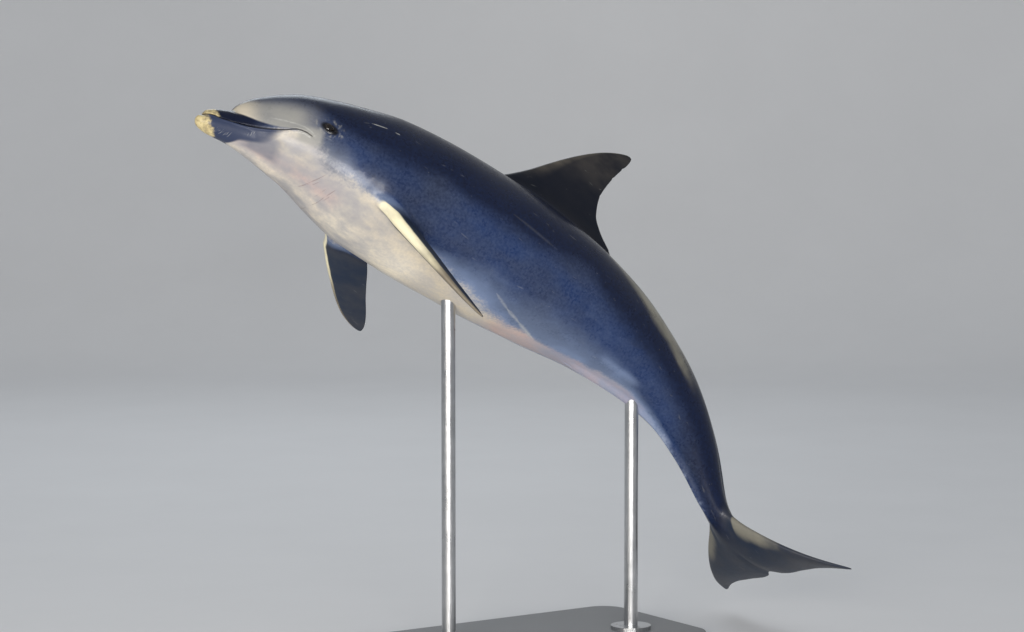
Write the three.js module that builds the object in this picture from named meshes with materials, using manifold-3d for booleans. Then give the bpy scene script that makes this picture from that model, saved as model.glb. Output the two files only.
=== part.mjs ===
// Bottlenose dolphin: a life-size still model of a leaping animal on a plain display stand.
// Millimetres, +Z up. The head points to -X and the left flank faces -Y.
// The body is described straight: x runs tailward from the tip of the lower jaw, y to the
// animal's left, z to its back. pose() then bends that straight body along the leaping spine.
import * as THREE from 'three';
import { mergeVertices } from 'three/addons/utils/BufferGeometryUtils.js';
import Module from 'manifold-3d';

// ---- driving sizes -------------------------------------------------------------------------
const SPINE_LENGTH = 2500;      // tip of the lower jaw to just behind the notch of the flukes
const BANK = 14;                // lean of the back away from -Y, degrees
const JAW_TIP = [-941.7, 199.9, 1607]; // where the tip of the lower jaw stands
const GAP = 0.3;                // clearance between neighbouring pieces
const AROUND = 36;              // facets round the body
const HEAD_END = 450;           // body stations where the flesh is parted
const CHEST_END = 960;
const LOIN_END = 1560;
const STOCK_END = 2290;

const EYE = { x: 359, z: 23, side: 127, radius: 17 };
const FLIPPER = { length: 436, thickness: 46 };
const FIN = { thickness: 74 };
const FLUKE = { thickness: 52 };

const BASE = { x: 28, y: 70, length: 1200, width: 560, height: 20, corner: 80 };
const ROD = { radius: 21, flange: 62, flangeHeight: 12 };
const ROD_FRONT = { x: -172, y: 63 };
const ROD_REAR = { x: 440, y: -22 };

// Pitch of the spine below level, in degrees, along its length.
const SPINE = [
  [0, 9.5], [250, 14.7], [500, 27.5], [750, 30], [1000, 31.8], [1250, 33], [1500, 41],
  [1750, 53.5], [1950, 71], [2100, 79], [2250, 62], [2500, 25],
];

// Body stations: x, height above the axis, depth below it, half width.
const LOWER_JAW = [
  [0, 1, 1, 1], [3, 9, 11, 10], [10, 14, 19, 18], [30, 15, 31, 29], [60, 12, 41, 36],
  [100, 8, 52, 42], [150, 8, 70, 54], [200, 10, 91, 69], [300, 20, 116, 92], [420, 20, 90, 60],
];
const UPPER_JAW = [
  [21, 14, 4, 4], [25, 25, 6, 16], [34, 34, 8, 25], [60, 40, 8, 34], [100, 43, 10, 41],
  [150, 46, 14, 54], [200, 52, 18, 76], [300, 50, 20, 104], [420, 40, 20, 60],
];
const MELON = [
  [108, 20, 8, 6], [114, 44, 10, 18], [124, 58, 14, 34], [140, 72, 20, 46], [170, 90, 30, 62],
  [210, 106, 40, 78], [260, 122, 50, 92], [320, 134, 60, 104], [420, 120, 60, 80],
];
const TRUNK = [
  [130, 20, 20, 20], [200, 84, 74, 78], [280, 118, 116, 112], [360, 146, 150, 140],
  [450, 166, 184, 166], [600, 194, 219, 205], [800, 206, 231, 216], [1000, 207, 228, 213],
  [1250, 196, 209, 194], [1500, 160, 170, 158], [1750, 112, 122, 108], [2000, 68, 72, 62],
  [2150, 42, 44, 40], [2290, 22, 22, 34],
];
const KEEL = [
  [1300, 120, 120, 30], [1500, 164, 172, 26], [1750, 122, 130, 20], [2000, 84, 86, 15],
  [2150, 56, 54, 12], [2230, 38, 36, 12], [2290, 24, 24, 12],
];
// How softly neighbouring forms run into each other along the body.
const BLEND = [[0, 4], [110, 5], [160, 14], [300, 30], [600, 60], [1400, 40], [2290, 14]];

// Mouth line: x, z on the jaws; beyond the corner the cut drops to the throat.
const MOUTH = [
  [-40, 19], [15, 19], [36, 17], [63, 8], [92, 2], [122, -3], [150, -7], [200, -10],
  [235, -8], [272, -1], [295, -5], [317, -14], [345, -110], [372, -300],
];

// Dorsal fin: z, leading edge x, trailing edge x, share of full thickness.
const FIN_STATIONS = [
  [150, 900, 1470, 1.25], [212, 968, 1408, 1.0], [245, 1010, 1362, 0.8], [290, 1062, 1326, 0.62],
  [350, 1122, 1315, 0.5], [410, 1184, 1325, 0.4], [465, 1248, 1341, 0.3], [500, 1296, 1353, 0.2],
  [518, 1326, 1356, 0.13],
];
const FIN_TIP = [527, 1350];
// Flipper: share of length, leading edge ahead of the span line, trailing edge behind it, thickness.
const FLIPPER_STATIONS = [
  [-0.12, 44, 58, 1.05], [0, 46, 62, 1], [0.12, 50, 70, 0.95], [0.25, 55, 74, 0.84],
  [0.4, 58, 66, 0.7], [0.55, 58, 52, 0.56], [0.69, 55, 40, 0.43], [0.8, 48, 33, 0.33],
  [0.9, 33, 24, 0.22], [0.965, 16, 14, 0.14],
];
const FLIPPER_ROOT = [612, 158, -130];
// Root to tip and towards the leading edge; the right flipper swings further out than the left.
const FLIPPER_POSE = {
  left: { side: 1, span: [0.715, 0.438, -0.545], lead: [-0.673, 0.639, -0.37] },
  right: { side: -1, span: [0.729, 0.606, -0.319], lead: [-0.68, 0.695, -0.235] },
};
// Flukes: y, leading edge x, trailing edge x, share of full thickness.
const FLUKE_STATIONS = [
  [0, 2150, 2468, 1], [12, 2172, 2474, 0.98], [35, 2205, 2492, 0.85], [75, 2250, 2500, 0.66],
  [130, 2302, 2496, 0.5], [190, 2362, 2496, 0.37], [240, 2418, 2506, 0.27],
  [285, 2476, 2526, 0.16], [306, 2511, 2538, 0.09],
];
const FLUKE_TIP = [318, 2542];

// ---- numbers along the body ----------------------------------------------------------------
// Smooth monotone curve through one column of a station table.
function curve(rows, column) {
  const n = rows.length;
  const slope = [];
  for (let i = 0; i < n - 1; i += 1) {
    slope.push((rows[i + 1][column] - rows[i][column]) / (rows[i + 1][0] - rows[i][0]));
  }
  const tangent = rows.map((row, i) => {
    if (i === 0) return slope[0];
    if (i === n - 1) return slope[n - 2];
    if (slope[i - 1] * slope[i] <= 0) return 0;
    const before = rows[i][0] - rows[i - 1][0];
    const after = rows[i + 1][0] - rows[i][0];
    const wa = 2 * after + before;
    const wb = after + 2 * before;
    return (wa + wb) / (wa / slope[i - 1] + wb / slope[i]);
  });
  return (x) => {
    let i = 0;
    while (i < n - 2 && x > rows[i + 1][0]) i += 1;
    const h = rows[i + 1][0] - rows[i][0];
    const t = Math.min(Math.max((x - rows[i][0]) / h, 0), 1);
    const s = 1 - t;
    return s * s * (1 + 2 * t) * rows[i][column] + s * s * t * h * tangent[i]
      + t * t * (3 - 2 * t) * rows[i + 1][column] - t * t * s * h * tangent[i + 1];
  };
}

function smoothMax(a, b, soft) {
  const near = Math.max(soft - Math.abs(a - b), 0);
  return Math.max(a, b) + (near * near) / (4 * soft);
}

// One rounded form of the body: an ellipse whose upper and lower halves differ.
function form(rows) {
  const top = curve(rows, 1);
  const bottom = curve(rows, 2);
  const half = curve(rows, 3);
  const first = rows[0][0];
  const last = rows[rows.length - 1][0];
  return (x, angle) => {
    if (x < first || x > last) return 0;
    const up = Math.sin(angle);
    const height = up > 0 ? top(x) : bottom(x);
    return 1 / Math.hypot(Math.cos(angle) / half(x), up / height);
  };
}

const forms = [LOWER_JAW, UPPER_JAW, MELON, TRUNK, KEEL].map(form);
const blend = curve(BLEND, 1);

function bodyRadius(x, angle) {
  return forms.reduce((radius, shape) => {
    const next = shape(x, angle);
    if (next === 0) return radius;
    return radius === 0 ? next : smoothMax(radius, next, blend(x));
  }, 0);
}

// ---- the leaping spine ---------------------------------------------------------------------
const spine = (() => {
  const pitch = curve(SPINE, 1);
  const step = 5;
  const points = [{ x: 0, z: 0, a: THREE.MathUtils.degToRad(pitch(0)) }];
  for (let s = step; s <= SPINE_LENGTH; s += step) {
    const last = points[points.length - 1];
    const a = THREE.MathUtils.degToRad(pitch(s));
    const mid = (a + last.a) / 2;
    points.push({ x: last.x + step * Math.cos(mid), z: last.z - step * Math.sin(mid), a });
  }
  return (s) => {
    const at = Math.min(Math.max(s, 0), SPINE_LENGTH);
    const i = Math.min(Math.floor(at / step), points.length - 2);
    const t = at / step - i;
    const mix = (key) => points[i][key] * (1 - t) + points[i + 1][key] * t;
    return { x: mix('x'), z: mix('z'), a: mix('a'), over: s - at };
  };
})();

// Straight body coordinates to the leaping, banked body in the model's space.
function pose(x, y, z) {
  const p = spine(x);
  const along = p.x + Math.cos(p.a) * p.over + Math.sin(p.a) * z;
  const up = p.z - Math.sin(p.a) * p.over + Math.cos(p.a) * z;
  const bank = THREE.MathUtils.degToRad(BANK);
  return new THREE.Vector3(
    JAW_TIP[0] + along,
    JAW_TIP[1] - y * Math.cos(bank) + up * Math.sin(bank),
    JAW_TIP[2] + y * Math.sin(bank) + up * Math.cos(bank),
  );
}

// ---- solids --------------------------------------------------------------------------------
const wasm = await Module();
wasm.setup();

// Closed solid through a row of loops with the same number of points. Both ends are capped
// from their middle, or drawn to a point when a tip is given for the last one.
function loft(loops, tip) {
  const count = loops[0].length;
  const points = loops.flat();
  const index = [];
  for (let i = 0; i < loops.length - 1; i += 1) {
    for (let j = 0; j < count; j += 1) {
      const a = i * count + j;
      const b = i * count + ((j + 1) % count);
      index.push(a, b, a + count, b, b + count, a + count);
    }
  }
  for (const end of [0, loops.length - 1]) {
    const centre = new THREE.Vector3();
    loops[end].forEach((p) => centre.addScaledVector(p, 1 / count));
    const hub = points.push(end > 0 && tip ? tip : centre) - 1;
    for (let j = 0; j < count; j += 1) {
      const a = end * count + j;
      const b = end * count + ((j + 1) % count);
      if (end === 0) index.push(hub, b, a);
      else index.push(hub, a, b);
    }
  }
  const geometry = new THREE.BufferGeometry();
  geometry.setAttribute('position', new THREE.Float32BufferAttribute(
    points.flatMap((p) => [p.x, p.y, p.z]), 3,
  ));
  geometry.setIndex(index);
  return volume(geometry) < 0 ? turned(geometry) : geometry;
}

function volume(geometry) {
  const p = geometry.getAttribute('position');
  const index = geometry.getIndex().array;
  const [a, b, c] = [new THREE.Vector3(), new THREE.Vector3(), new THREE.Vector3()];
  let sum = 0;
  for (let i = 0; i < index.length; i += 3) {
    a.fromBufferAttribute(p, index[i]);
    b.fromBufferAttribute(p, index[i + 1]);
    c.fromBufferAttribute(p, index[i + 2]);
    sum += a.dot(b.cross(c)) / 6;
  }
  return sum;
}

function turned(geometry) {
  const index = Array.from(geometry.getIndex().array);
  for (let i = 0; i < index.length; i += 3) {
    [index[i + 1], index[i + 2]] = [index[i + 2], index[i + 1]];
  }
  geometry.setIndex(index);
  return geometry;
}

function solid(geometry) {
  geometry.deleteAttribute('normal');
  geometry.deleteAttribute('uv');
  const merged = mergeVertices(geometry, 1e-3);
  return new wasm.Manifold(new wasm.Mesh({
    numProp: 3,
    vertProperties: new Float32Array(merged.getAttribute('position').array),
    triVerts: new Uint32Array(merged.getIndex().array),
  }));
}

// Largest facets first: programs that read the solid take its outside from the first ones.
function surface(manifold) {
  const mesh = manifold.simplify(0.05).getMesh();
  const corner = (i) => new THREE.Vector3().fromArray(mesh.vertProperties, 3 * i);
  const facets = [];
  for (let i = 0; i < mesh.triVerts.length; i += 3) {
    const facet = Array.from(mesh.triVerts.slice(i, i + 3));
    facets.push({ facet, area: new THREE.Triangle(...facet.map(corner)).getArea() });
  }
  facets.sort((a, b) => b.area - a.area);
  const geometry = new THREE.BufferGeometry();
  geometry.setAttribute('position', new THREE.Float32BufferAttribute(mesh.vertProperties, 3));
  geometry.setIndex(facets.flatMap(({ facet }) => facet));
  geometry.computeVertexNormals();
  return geometry;
}

// Stations of the loops round the body, closer together where it changes fast.
const stations = (() => {
  const step = (x) => {
    if (x < 12) return 4;
    if (x < 40) return 7;
    if (x < 100) return 18;
    if (x < 150) return 10;
    if (x < HEAD_END) return 29;
    if (x < 1900) return 68;
    return 50;
  };
  const list = [0];
  for (const end of [HEAD_END, CHEST_END, LOIN_END, STOCK_END]) {
    while (list[list.length - 1] + 1.5 * step(list[list.length - 1]) < end) {
      const last = list[list.length - 1];
      list.push(last + step(last));
    }
    list.push(end);
  }
  return list;
})();

// A run of the body between two stations, optionally a little fatter all round.
function bodyRun(from, to, extra = 0) {
  const inside = stations.filter((x) => x > from + 1 && x < to - 1);
  return solid(loft([from, ...inside, to].map((x) => {
    const loop = [];
    for (let j = 0; j < AROUND; j += 1) {
      const angle = (2 * Math.PI * j) / AROUND;
      const r = bodyRadius(x, angle) + extra;
      loop.push(pose(x, r * Math.cos(angle), r * Math.sin(angle)));
    }
    return loop;
  })));
}

// Everything below the mouth line, used to part the lower jaw from the head.
function belowMouth(offset) {
  const line = curve(MOUTH, 1);
  const loops = [];
  for (let x = -30; x <= 370; x += 20) {
    const z = line(x) + offset;
    loops.push([
      pose(x, -260, z - 400), pose(x, 260, z - 400), pose(x, 260, z), pose(x, -260, z),
    ]);
  }
  return solid(loft(loops));
}

// Streamlined section: loop of [share of chord from the leading edge, half thickness share].
function foil(points) {
  const half = (c) => 5 * (0.2969 * Math.sqrt(c) - 0.126 * c - 0.3516 * c * c
    + 0.2843 * c ** 3 - 0.1036 * c ** 4);
  const loop = [];
  for (let i = points; i >= 0; i -= 1) {
    const c = (1 - Math.cos((Math.PI * i) / points)) / 2;
    loop.push([c, half(c)]);
  }
  for (let i = 1; i <= points; i += 1) {
    const c = (1 - Math.cos((Math.PI * i) / points)) / 2;
    loop.push([c, -half(c)]);
  }
  return loop;
}
const section = foil(8);
const BLUNT = 0.8;   // half thickness left at a trailing edge

function dorsalFin() {
  const loops = FIN_STATIONS.map(([z, lead, trail, share]) => section.map(([c, t]) => pose(
    lead + (trail - lead) * c,
    t * FIN.thickness * share + Math.sign(t) * BLUNT,
    z,
  )));
  return solid(loft(loops, pose(FIN_TIP[1], 0, FIN_TIP[0])));
}

function flipper({ side, span: toTip, lead: toLead }) {
  const span = new THREE.Vector3(...toTip).normalize();
  const lead = new THREE.Vector3(...toLead);
  lead.addScaledVector(span, -lead.dot(span)).normalize();
  const normal = new THREE.Vector3().crossVectors(span, lead);
  const at = (u, ahead, above) => {
    const buried = Math.max(0.12 - u, 0) * FLIPPER.length;
    const p = new THREE.Vector3(...FLIPPER_ROOT)
      .addScaledVector(span, u * FLIPPER.length)
      .addScaledVector(lead, ahead)
      .addScaledVector(normal, above);
    return pose(p.x, side * (p.y - 0.6 * buried), p.z + 0.5 * buried);
  };
  const loops = FLIPPER_STATIONS.map(([u, ahead, behind, share]) => section.map(([c, t]) => at(
    u,
    ahead - (ahead + behind) * c,
    t * FLIPPER.thickness * share + Math.sign(t) * BLUNT,
  )));
  return solid(loft(loops, at(1, -1, 0)));
}

function fluke(side) {
  const loops = FLUKE_STATIONS.map(([y, lead, trail, share]) => section.map(([c, t]) => pose(
    lead + (trail - lead) * c,
    side * (y + GAP / 2),
    t * FLUKE.thickness * share + Math.sign(t) * BLUNT,
  )));
  return solid(loft(loops, pose(FLUKE_TIP[1], side * FLUKE_TIP[0], 0)));
}

function ball(centre, radius, facets) {
  const geometry = new THREE.SphereGeometry(radius, facets, Math.round(facets * 0.7));
  geometry.translate(centre.x, centre.y, centre.z);
  return solid(geometry);
}

function upright(radius, from, to, x, y) {
  const geometry = new THREE.CylinderGeometry(radius, radius, to - from, 32);
  geometry.rotateX(Math.PI / 2);
  geometry.translate(x, y, (from + to) / 2);
  return solid(geometry);
}

function basePlate() {
  const hx = BASE.length / 2;
  const hy = BASE.width / 2;
  const r = BASE.corner;
  const bevel = 3;
  const outline = new THREE.Shape();
  [[hx - r, hy - r, 0], [r - hx, hy - r, 0.5], [r - hx, r - hy, 1], [hx - r, r - hy, 1.5]]
    .forEach(([x, y, turn]) => {
      outline.absarc(x, y, r - bevel, turn * Math.PI, (turn + 0.5) * Math.PI, false);
    });
  outline.closePath();
  const geometry = new THREE.ExtrudeGeometry(outline, {
    depth: BASE.height - 2 * bevel,
    bevelEnabled: true,
    bevelThickness: bevel,
    bevelSize: bevel,
    bevelSegments: 1,
    curveSegments: 7,
  });
  geometry.translate(BASE.x, BASE.y, bevel);
  return solid(geometry);
}

// ---- cutting the pieces --------------------------------------------------------------------
const whole = bodyRun(0, STOCK_END, GAP);
const eyes = [1, -1].map((side) => pose(EYE.x, side * EYE.side, EYE.z));
const sockets = eyes.map((centre) => ball(centre, EYE.radius + GAP, 12));
const front = bodyRun(0, HEAD_END - GAP / 2);
const flukes = [1, -1].map((side) => fluke(side));
const stock = bodyRun(LOIN_END + GAP / 2, STOCK_END);
const rodLow = BASE.height + ROD.flangeHeight;
const rodHigh = 1500;

const pieces = {
  head: front.subtract(belowMouth(GAP / 2)).subtract(sockets[0]).subtract(sockets[1]),
  lower_jaw: front.intersect(belowMouth(-GAP / 2)),
  chest: bodyRun(HEAD_END + GAP / 2, CHEST_END - GAP / 2),
  loin: bodyRun(CHEST_END + GAP / 2, LOIN_END - GAP / 2),
  tail_stock: stock,
  dorsal_fin: dorsalFin().subtract(whole),
  flipper_left: flipper(FLIPPER_POSE.left).subtract(whole),
  flipper_right: flipper(FLIPPER_POSE.right).subtract(whole),
  fluke_left: flukes[0].subtract(whole),
  fluke_right: flukes[1].subtract(whole),
  eye_left: ball(eyes[0], EYE.radius, 12),
  eye_right: ball(eyes[1], EYE.radius, 12),
  stand_base: basePlate(),
  stand_flange_front: upright(ROD.flange, BASE.height, rodLow, ROD_FRONT.x, ROD_FRONT.y),
  stand_flange_rear: upright(ROD.flange, BASE.height, rodLow, ROD_REAR.x, ROD_REAR.y),
  stand_rod_front: upright(ROD.radius, rodLow, rodHigh, ROD_FRONT.x, ROD_FRONT.y),
  stand_rod_rear: upright(ROD.radius, rodLow, rodHigh, ROD_REAR.x, ROD_REAR.y),
};

// A rod reaches from its flange up to the belly and no further.
for (const name of ['stand_rod_front', 'stand_rod_rear']) {
  const parts = pieces[name].subtract(whole).decompose();
  parts.sort((a, b) => a.boundingBox().min[2] - b.boundingBox().min[2]);
  [pieces[name]] = parts;
}

// ---- looks ---------------------------------------------------------------------------------
const SKIN_DARK = [0x2b3038, 0.35, 0];
const SKIN_GREY = [0x4a525c, 0.35, 0];
const SKIN_PALE = [0xb7b0a6, 0.4, 0];
const EYE_DARK = [0x120d0a, 0.12, 0];
const STEEL = [0xa9abad, 0.35, 1];
const PAINT = [0x3b3d40, 0.55, 0];
const looks = {
  head: SKIN_GREY,
  lower_jaw: SKIN_PALE,
  chest: SKIN_GREY,
  loin: SKIN_GREY,
  tail_stock: SKIN_GREY,
  dorsal_fin: SKIN_DARK,
  flipper_left: SKIN_DARK,
  flipper_right: SKIN_DARK,
  fluke_left: SKIN_DARK,
  fluke_right: SKIN_DARK,
  eye_left: EYE_DARK,
  eye_right: EYE_DARK,
  stand_base: PAINT,
  stand_flange_front: STEEL,
  stand_flange_rear: STEEL,
  stand_rod_front: STEEL,
  stand_rod_rear: STEEL,
};

const group = new THREE.Group();
group.name = 'bottlenose_dolphin';
for (const [name, piece] of Object.entries(pieces)) {
  const [color, roughness, metalness] = looks[name];
  const mesh = new THREE.Mesh(
    surface(piece),
    new THREE.MeshStandardMaterial({ color, roughness, metalness }),
  );
  mesh.name = name;
  group.add(mesh);
}

export default group;
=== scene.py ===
"""Leaping bottlenose dolphin, life size, on a plain display stand.

One skin runs over the body, fins and flukes. It is worked out on the straight animal, where x runs
tailward from the tip of the lower jaw, y to the animal's left and z to its back, all in
millimetres, and is then bent along the leaping spine into the frame's metres.
"""

import math

import bmesh
import bpy
import numpy as np
from bpy.props import FloatProperty, FloatVectorProperty, PointerProperty
from bpy.types import Operator, Panel, PropertyGroup
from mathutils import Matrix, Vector


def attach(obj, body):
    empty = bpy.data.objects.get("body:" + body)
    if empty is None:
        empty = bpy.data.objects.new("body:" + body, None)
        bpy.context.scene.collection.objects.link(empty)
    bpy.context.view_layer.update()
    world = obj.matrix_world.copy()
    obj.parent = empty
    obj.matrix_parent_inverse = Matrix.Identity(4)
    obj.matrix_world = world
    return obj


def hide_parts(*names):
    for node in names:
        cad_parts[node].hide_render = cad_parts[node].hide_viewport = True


bl_info = {
    "name": "Leaping Dolphin",
    "version": (1, 0, 0),
    "blender": (4, 5, 0),
    "location": "View3D > Sidebar > Dolphin",
    "description": "Builds the skin, eyes, stand finish and studio of a leaping dolphin",
    "category": "Object",
}

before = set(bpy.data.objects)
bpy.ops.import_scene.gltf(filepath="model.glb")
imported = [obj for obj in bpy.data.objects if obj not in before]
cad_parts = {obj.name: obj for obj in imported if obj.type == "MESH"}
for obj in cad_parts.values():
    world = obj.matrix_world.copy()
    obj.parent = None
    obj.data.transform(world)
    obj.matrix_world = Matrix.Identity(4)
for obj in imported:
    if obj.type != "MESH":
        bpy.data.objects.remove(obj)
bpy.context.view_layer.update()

# ---- sizes of the straight animal, millimetres --------------------------------------------------
SPINE_LENGTH = 2500
# How far the back leans over, and the frame's place of the lower jaw's tip.
BANK = math.radians(14)
JAW_TIP = (-941.7, 199.9, 1607)
# Degrees by which the spine falls tailward, along it.
SPINE = [
    (0, 9.5), (250, 14.7), (500, 27.5), (750, 30), (1000, 31.8), (1250, 33), (1500, 41),
    (1750, 53.5), (1950, 71), (2100, 79), (2250, 62), (2500, 25),
]
# Body forms: x, height above the axis, depth below it, half width.
LOWER_JAW = [
    (0, 1, 1, 1), (3, 9, 11, 10), (10, 14, 19, 18), (30, 15, 31, 29), (60, 12, 41, 36),
    (100, 8, 52, 42), (150, 8, 70, 54), (200, 10, 91, 69), (300, 20, 116, 92), (420, 20, 90, 60),
]
UPPER_JAW = [
    (21, 14, 4, 4), (25, 25, 6, 16), (34, 34, 8, 25), (60, 40, 8, 34), (100, 43, 10, 41),
    (150, 46, 14, 54), (200, 52, 18, 76), (300, 50, 20, 104), (420, 40, 20, 60),
]
MELON = [
    (108, 20, 8, 6), (114, 44, 10, 18), (124, 58, 14, 34), (140, 72, 20, 46), (170, 90, 30, 62),
    (210, 106, 40, 78), (260, 122, 50, 92), (320, 134, 60, 104), (420, 120, 60, 80),
]
TRUNK = [
    (130, 20, 20, 20), (200, 84, 74, 78), (280, 118, 116, 112), (360, 146, 150, 140),
    (450, 166, 184, 166), (600, 194, 219, 205), (800, 206, 231, 216), (1000, 207, 228, 213),
    (1250, 196, 209, 194), (1500, 160, 170, 158), (1750, 112, 122, 108), (2000, 68, 72, 62),
    (2150, 42, 44, 40), (2290, 22, 22, 34),
]
KEEL = [
    (1300, 120, 120, 30), (1500, 164, 172, 26), (1750, 122, 130, 20), (2000, 84, 86, 15),
    (2150, 56, 54, 12), (2230, 38, 36, 12), (2290, 24, 24, 12),
]
# Softness with which the forms run together: x, millimetres.
BLEND = [(0, 4), (110, 5), (160, 14), (300, 30), (600, 60), (1400, 40), (2290, 14)]
# Mouth line: x, z.
MOUTH = [
    (-40, 19), (15, 19), (36, 17), (63, 8), (92, 2), (122, -3), (150, -7), (200, -10),
    (235, -8), (272, -1), (295, -5), (317, -14), (345, -22),
]
MOUTH_END = 319
# Where the rows of the skin lie closest: x, degrees above the side.
SEAM = [
    (0, 30), (24, 34), (36, 33), (63, 13.5), (92, 2.8), (122, -3.7), (150, -7.4), (200, -8.3),
    (235, -5), (272, -.5), (295, -2.4), (317, -4.6), (338, 3), (352, 8), (372, 7), (470, 0),
]
# Fold between forehead and upper jaw: x, z.
MELON_FOLD = [(96, 38), (125, 30), (149, 20), (168, 12), (185, 6), (205, 1), (225, -2)]

# Dorsal fin: height, leading edge, trailing edge, share of the thickness.
FIN_THICKNESS = 74
FIN = [
    (150, 900, 1470, 1.25), (212, 968, 1408, 1), (245, 1010, 1362, .8), (290, 1062, 1326, .62),
    (350, 1122, 1315, .5), (410, 1184, 1325, .4), (465, 1248, 1341, .3), (500, 1296, 1353, .2),
    (518, 1326, 1356, .13), (524, 1339, 1355, .1), (527, 1349, 1351, .05),
]
# Flipper: share of its length, chord ahead of its span line and behind it, share of the thickness.
FLIPPER_LENGTH = 436
FLIPPER_THICKNESS = 46
FLIPPER_ROOT = (612, 158, -130)
FLIPPER = [
    (-.12, 44, 58, 1.05), (0, 46, 62, 1), (.12, 50, 70, .95), (.25, 55, 74, .84),
    (.4, 58, 66, .7), (.55, 58, 52, .56), (.69, 55, 40, .43), (.8, 48, 33, .33),
    (.9, 33, 24, .22), (.965, 16, 14, .14), (.985, 8, 8, .1), (1, -.6, 1.4, .05),
]
# Ways of the span line and of the leading edge, for the left flipper (1) and the right one (-1).
FLIPPER_POSE = {
    1: ((.715, .438, -.545), (-.673, .639, -.37)),
    -1: ((.729, .606, -.319), (-.68, .695, -.235)),
}
# Fluke: distance from the middle, leading edge, trailing edge, share of the thickness.
FLUKE_THICKNESS = 52
FLUKE = [
    (0, 2150, 2468, 1), (12, 2172, 2474, .98), (35, 2205, 2492, .85), (75, 2250, 2500, .66),
    (130, 2302, 2496, .5), (190, 2362, 2496, .37), (240, 2418, 2506, .27),
    (285, 2476, 2526, .16), (306, 2511, 2538, .09), (314, 2526, 2541, .07), (318, 2539, 2542, .04),
]
# Half thickness that every edge of a fin keeps.
BLUNT = .8
# Nicks in the dorsal fin's trailing edge: height, depth, width.
FIN_NICKS = [(478, 2.6, 3.2), (447, 1.6, 2.4), (431, 2.2, 3), (398, 1.2, 2.5), (352, 1.6, 3.5)]
# Where the fins leave the body: start and end along it. Rows gather along the fin's run, and its
# thickness is spread over its chord.
FIN_FOOT = (938, 1452)
FIN_RUN = (940, 1450)
FIN_CHORD = (962, 1425)
FLIPPER_FOOT = (536, 730)
# The middle of the flukes, which runs into the tail stock, and the place of their tips.
FLUKE_MIDDLE = 46
FLUKE_END = 317.6

# Places on the head and belly: eye, corner of the mouth, blowhole, ear (x, z), navel, vent.
EYE = {"x": 359, "z": 23, "side": 127, "radius": 17, "tilt": 22}
MOUTH_CORNER_Z = -15
BLOWHOLE_X = 343
EAR = (416, 4)
NAVEL_X = 1150
VENT = (1440, 1700)

# ---- markings and painted light, in x and degrees above the side --------------------------------
# Lower border of the dark back, and upper border of the pale belly.
CAPE_EDGE = [
    (0, 40), (100, 45), (150, 66), (215, 60), (260, 52), (315, 38), (350, 26), (400, 10),
    (480, 3), (635, 1), (830, -2), (1050, -3), (1170, -1), (1290, 2), (1400, -8), (1510, -13),
    (1650, -17), (1850, -30), (2050, -52), (2290, -70),
]
BELLY_EDGE = [
    (0, -12), (200, -8), (310, -3), (330, -6), (348, -15), (370, -24), (388, -31), (417, -34),
    (446, -36), (512, -37), (590, -36), (640, -38), (700, -46), (760, -54), (816, -58), (870, -61),
    (928, -65), (1000, -70), (1075, -75), (1136, -77), (1206, -75), (1291, -77), (1384, -79),
    (1470, -78), (1544, -74), (1650, -72), (1760, -80), (1860, -87), (2290, -96),
]
# Lower border of the dark band along the jaw.
JAW_BAND = [
    (0, 15), (16, 2), (26, -34), (40, -72), (58, -96), (95, -94), (110, -74), (127, -56),
    (153, -49), (172, -45), (195, -40), (212, -30), (240, -12),
]
# Height of the lighter band of the flank above the belly's edge: x, millimetres.
LOW_BAND = [
    (0, 12), (300, 30), (340, 60), (375, 100), (410, 112), (450, 85), (475, 62), (510, 50),
    (560, 34), (700, 30), (760, 36), (820, 62), (900, 100), (1000, 150), (1200, 155), (1350, 150),
    (1500, 105), (1600, 70), (1700, 36), (2290, 30),
]
# Softness of the two borders: x, millimetres.
BELLY_SOFT = [
    (0, 6), (290, 12), (340, 30), (380, 30), (440, 26), (560, 15), (720, 14), (860, 30),
    (1060, 30), (1250, 12), (2300, 9),
]
CAPE_SOFT = [(0, 10), (300, 26), (700, 34), (2300, 40)]
# Where the light side of the forehead starts to fade upward, and where it is gone.
MELON_FROM = [(112, 80), (150, 66), (200, 40), (300, 20)]
MELON_TO = [(112, 92), (150, 87), (200, 74), (300, 56)]
# Lower border of the painted sunlight, in tan, along the ridge of the tail stock.
KEEL_LIGHT_FROM = [
    (1300, 62), (1380, 44), (1430, 34), (1500, 26), (1560, 17), (1650, 14), (1750, 9), (1850, 2),
    (2000, 0),
]

# Thin marks: start and end as (x in metres, degrees above the side), width in metres, and
# strength, which the folds don't have.
SCARS = [((.473, 30), (.522, 28.2), .003, .9), ((.543, 26.2), (.558, 25), .0026, .8)]
STREAKS = [
    ((.196, 16.5), (.25, 9.4), .008, .42), ((.244, 10), (.293, 4.5), .007, .5),
    ((.288, 5), (.318, -3), .006, .5),
    ((.381, 9), (.392, 17), .005, .2), ((.344, -3), (.372, -5), .004, .14),
    ((1.05, -54), (1.12, -62), .006, .26), ((1.115, -61.5), (1.18, -68), .007, .4),
    ((1.175, -67.5), (1.26, -77), .008, .5), ((.97, 8.6), (1.15, 3.9), .006, .05),
    *(((.05 + .0047 * i, -62 + 5 * (i % 3)), (.0575 + .0049 * i, -30 - 6 * (i % 4)), .0017, .5)
      for i in range(10)),
    ((.154, -34), (.157, -20), .002, .35), ((.161, -28), (.165, -16), .002, .3),
    ((.145, -38), (.148, -26), .0018, .25),
]
FOLDS = [
    ((.342, -79), (.362, -62), .0026), ((.36, -63), (.392, -43), .0028),
    ((.35, -74), (.366, -62), .0016), ((.372, -63), (.394, -49), .0016),
    ((.419, -86), (.429, -62), .0026), ((.428, -64), (.445, -49), .0026),
    ((.432, -70), (.443, -57), .0016), ((.404, -72), (.416, -56), .0015),
]

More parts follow.
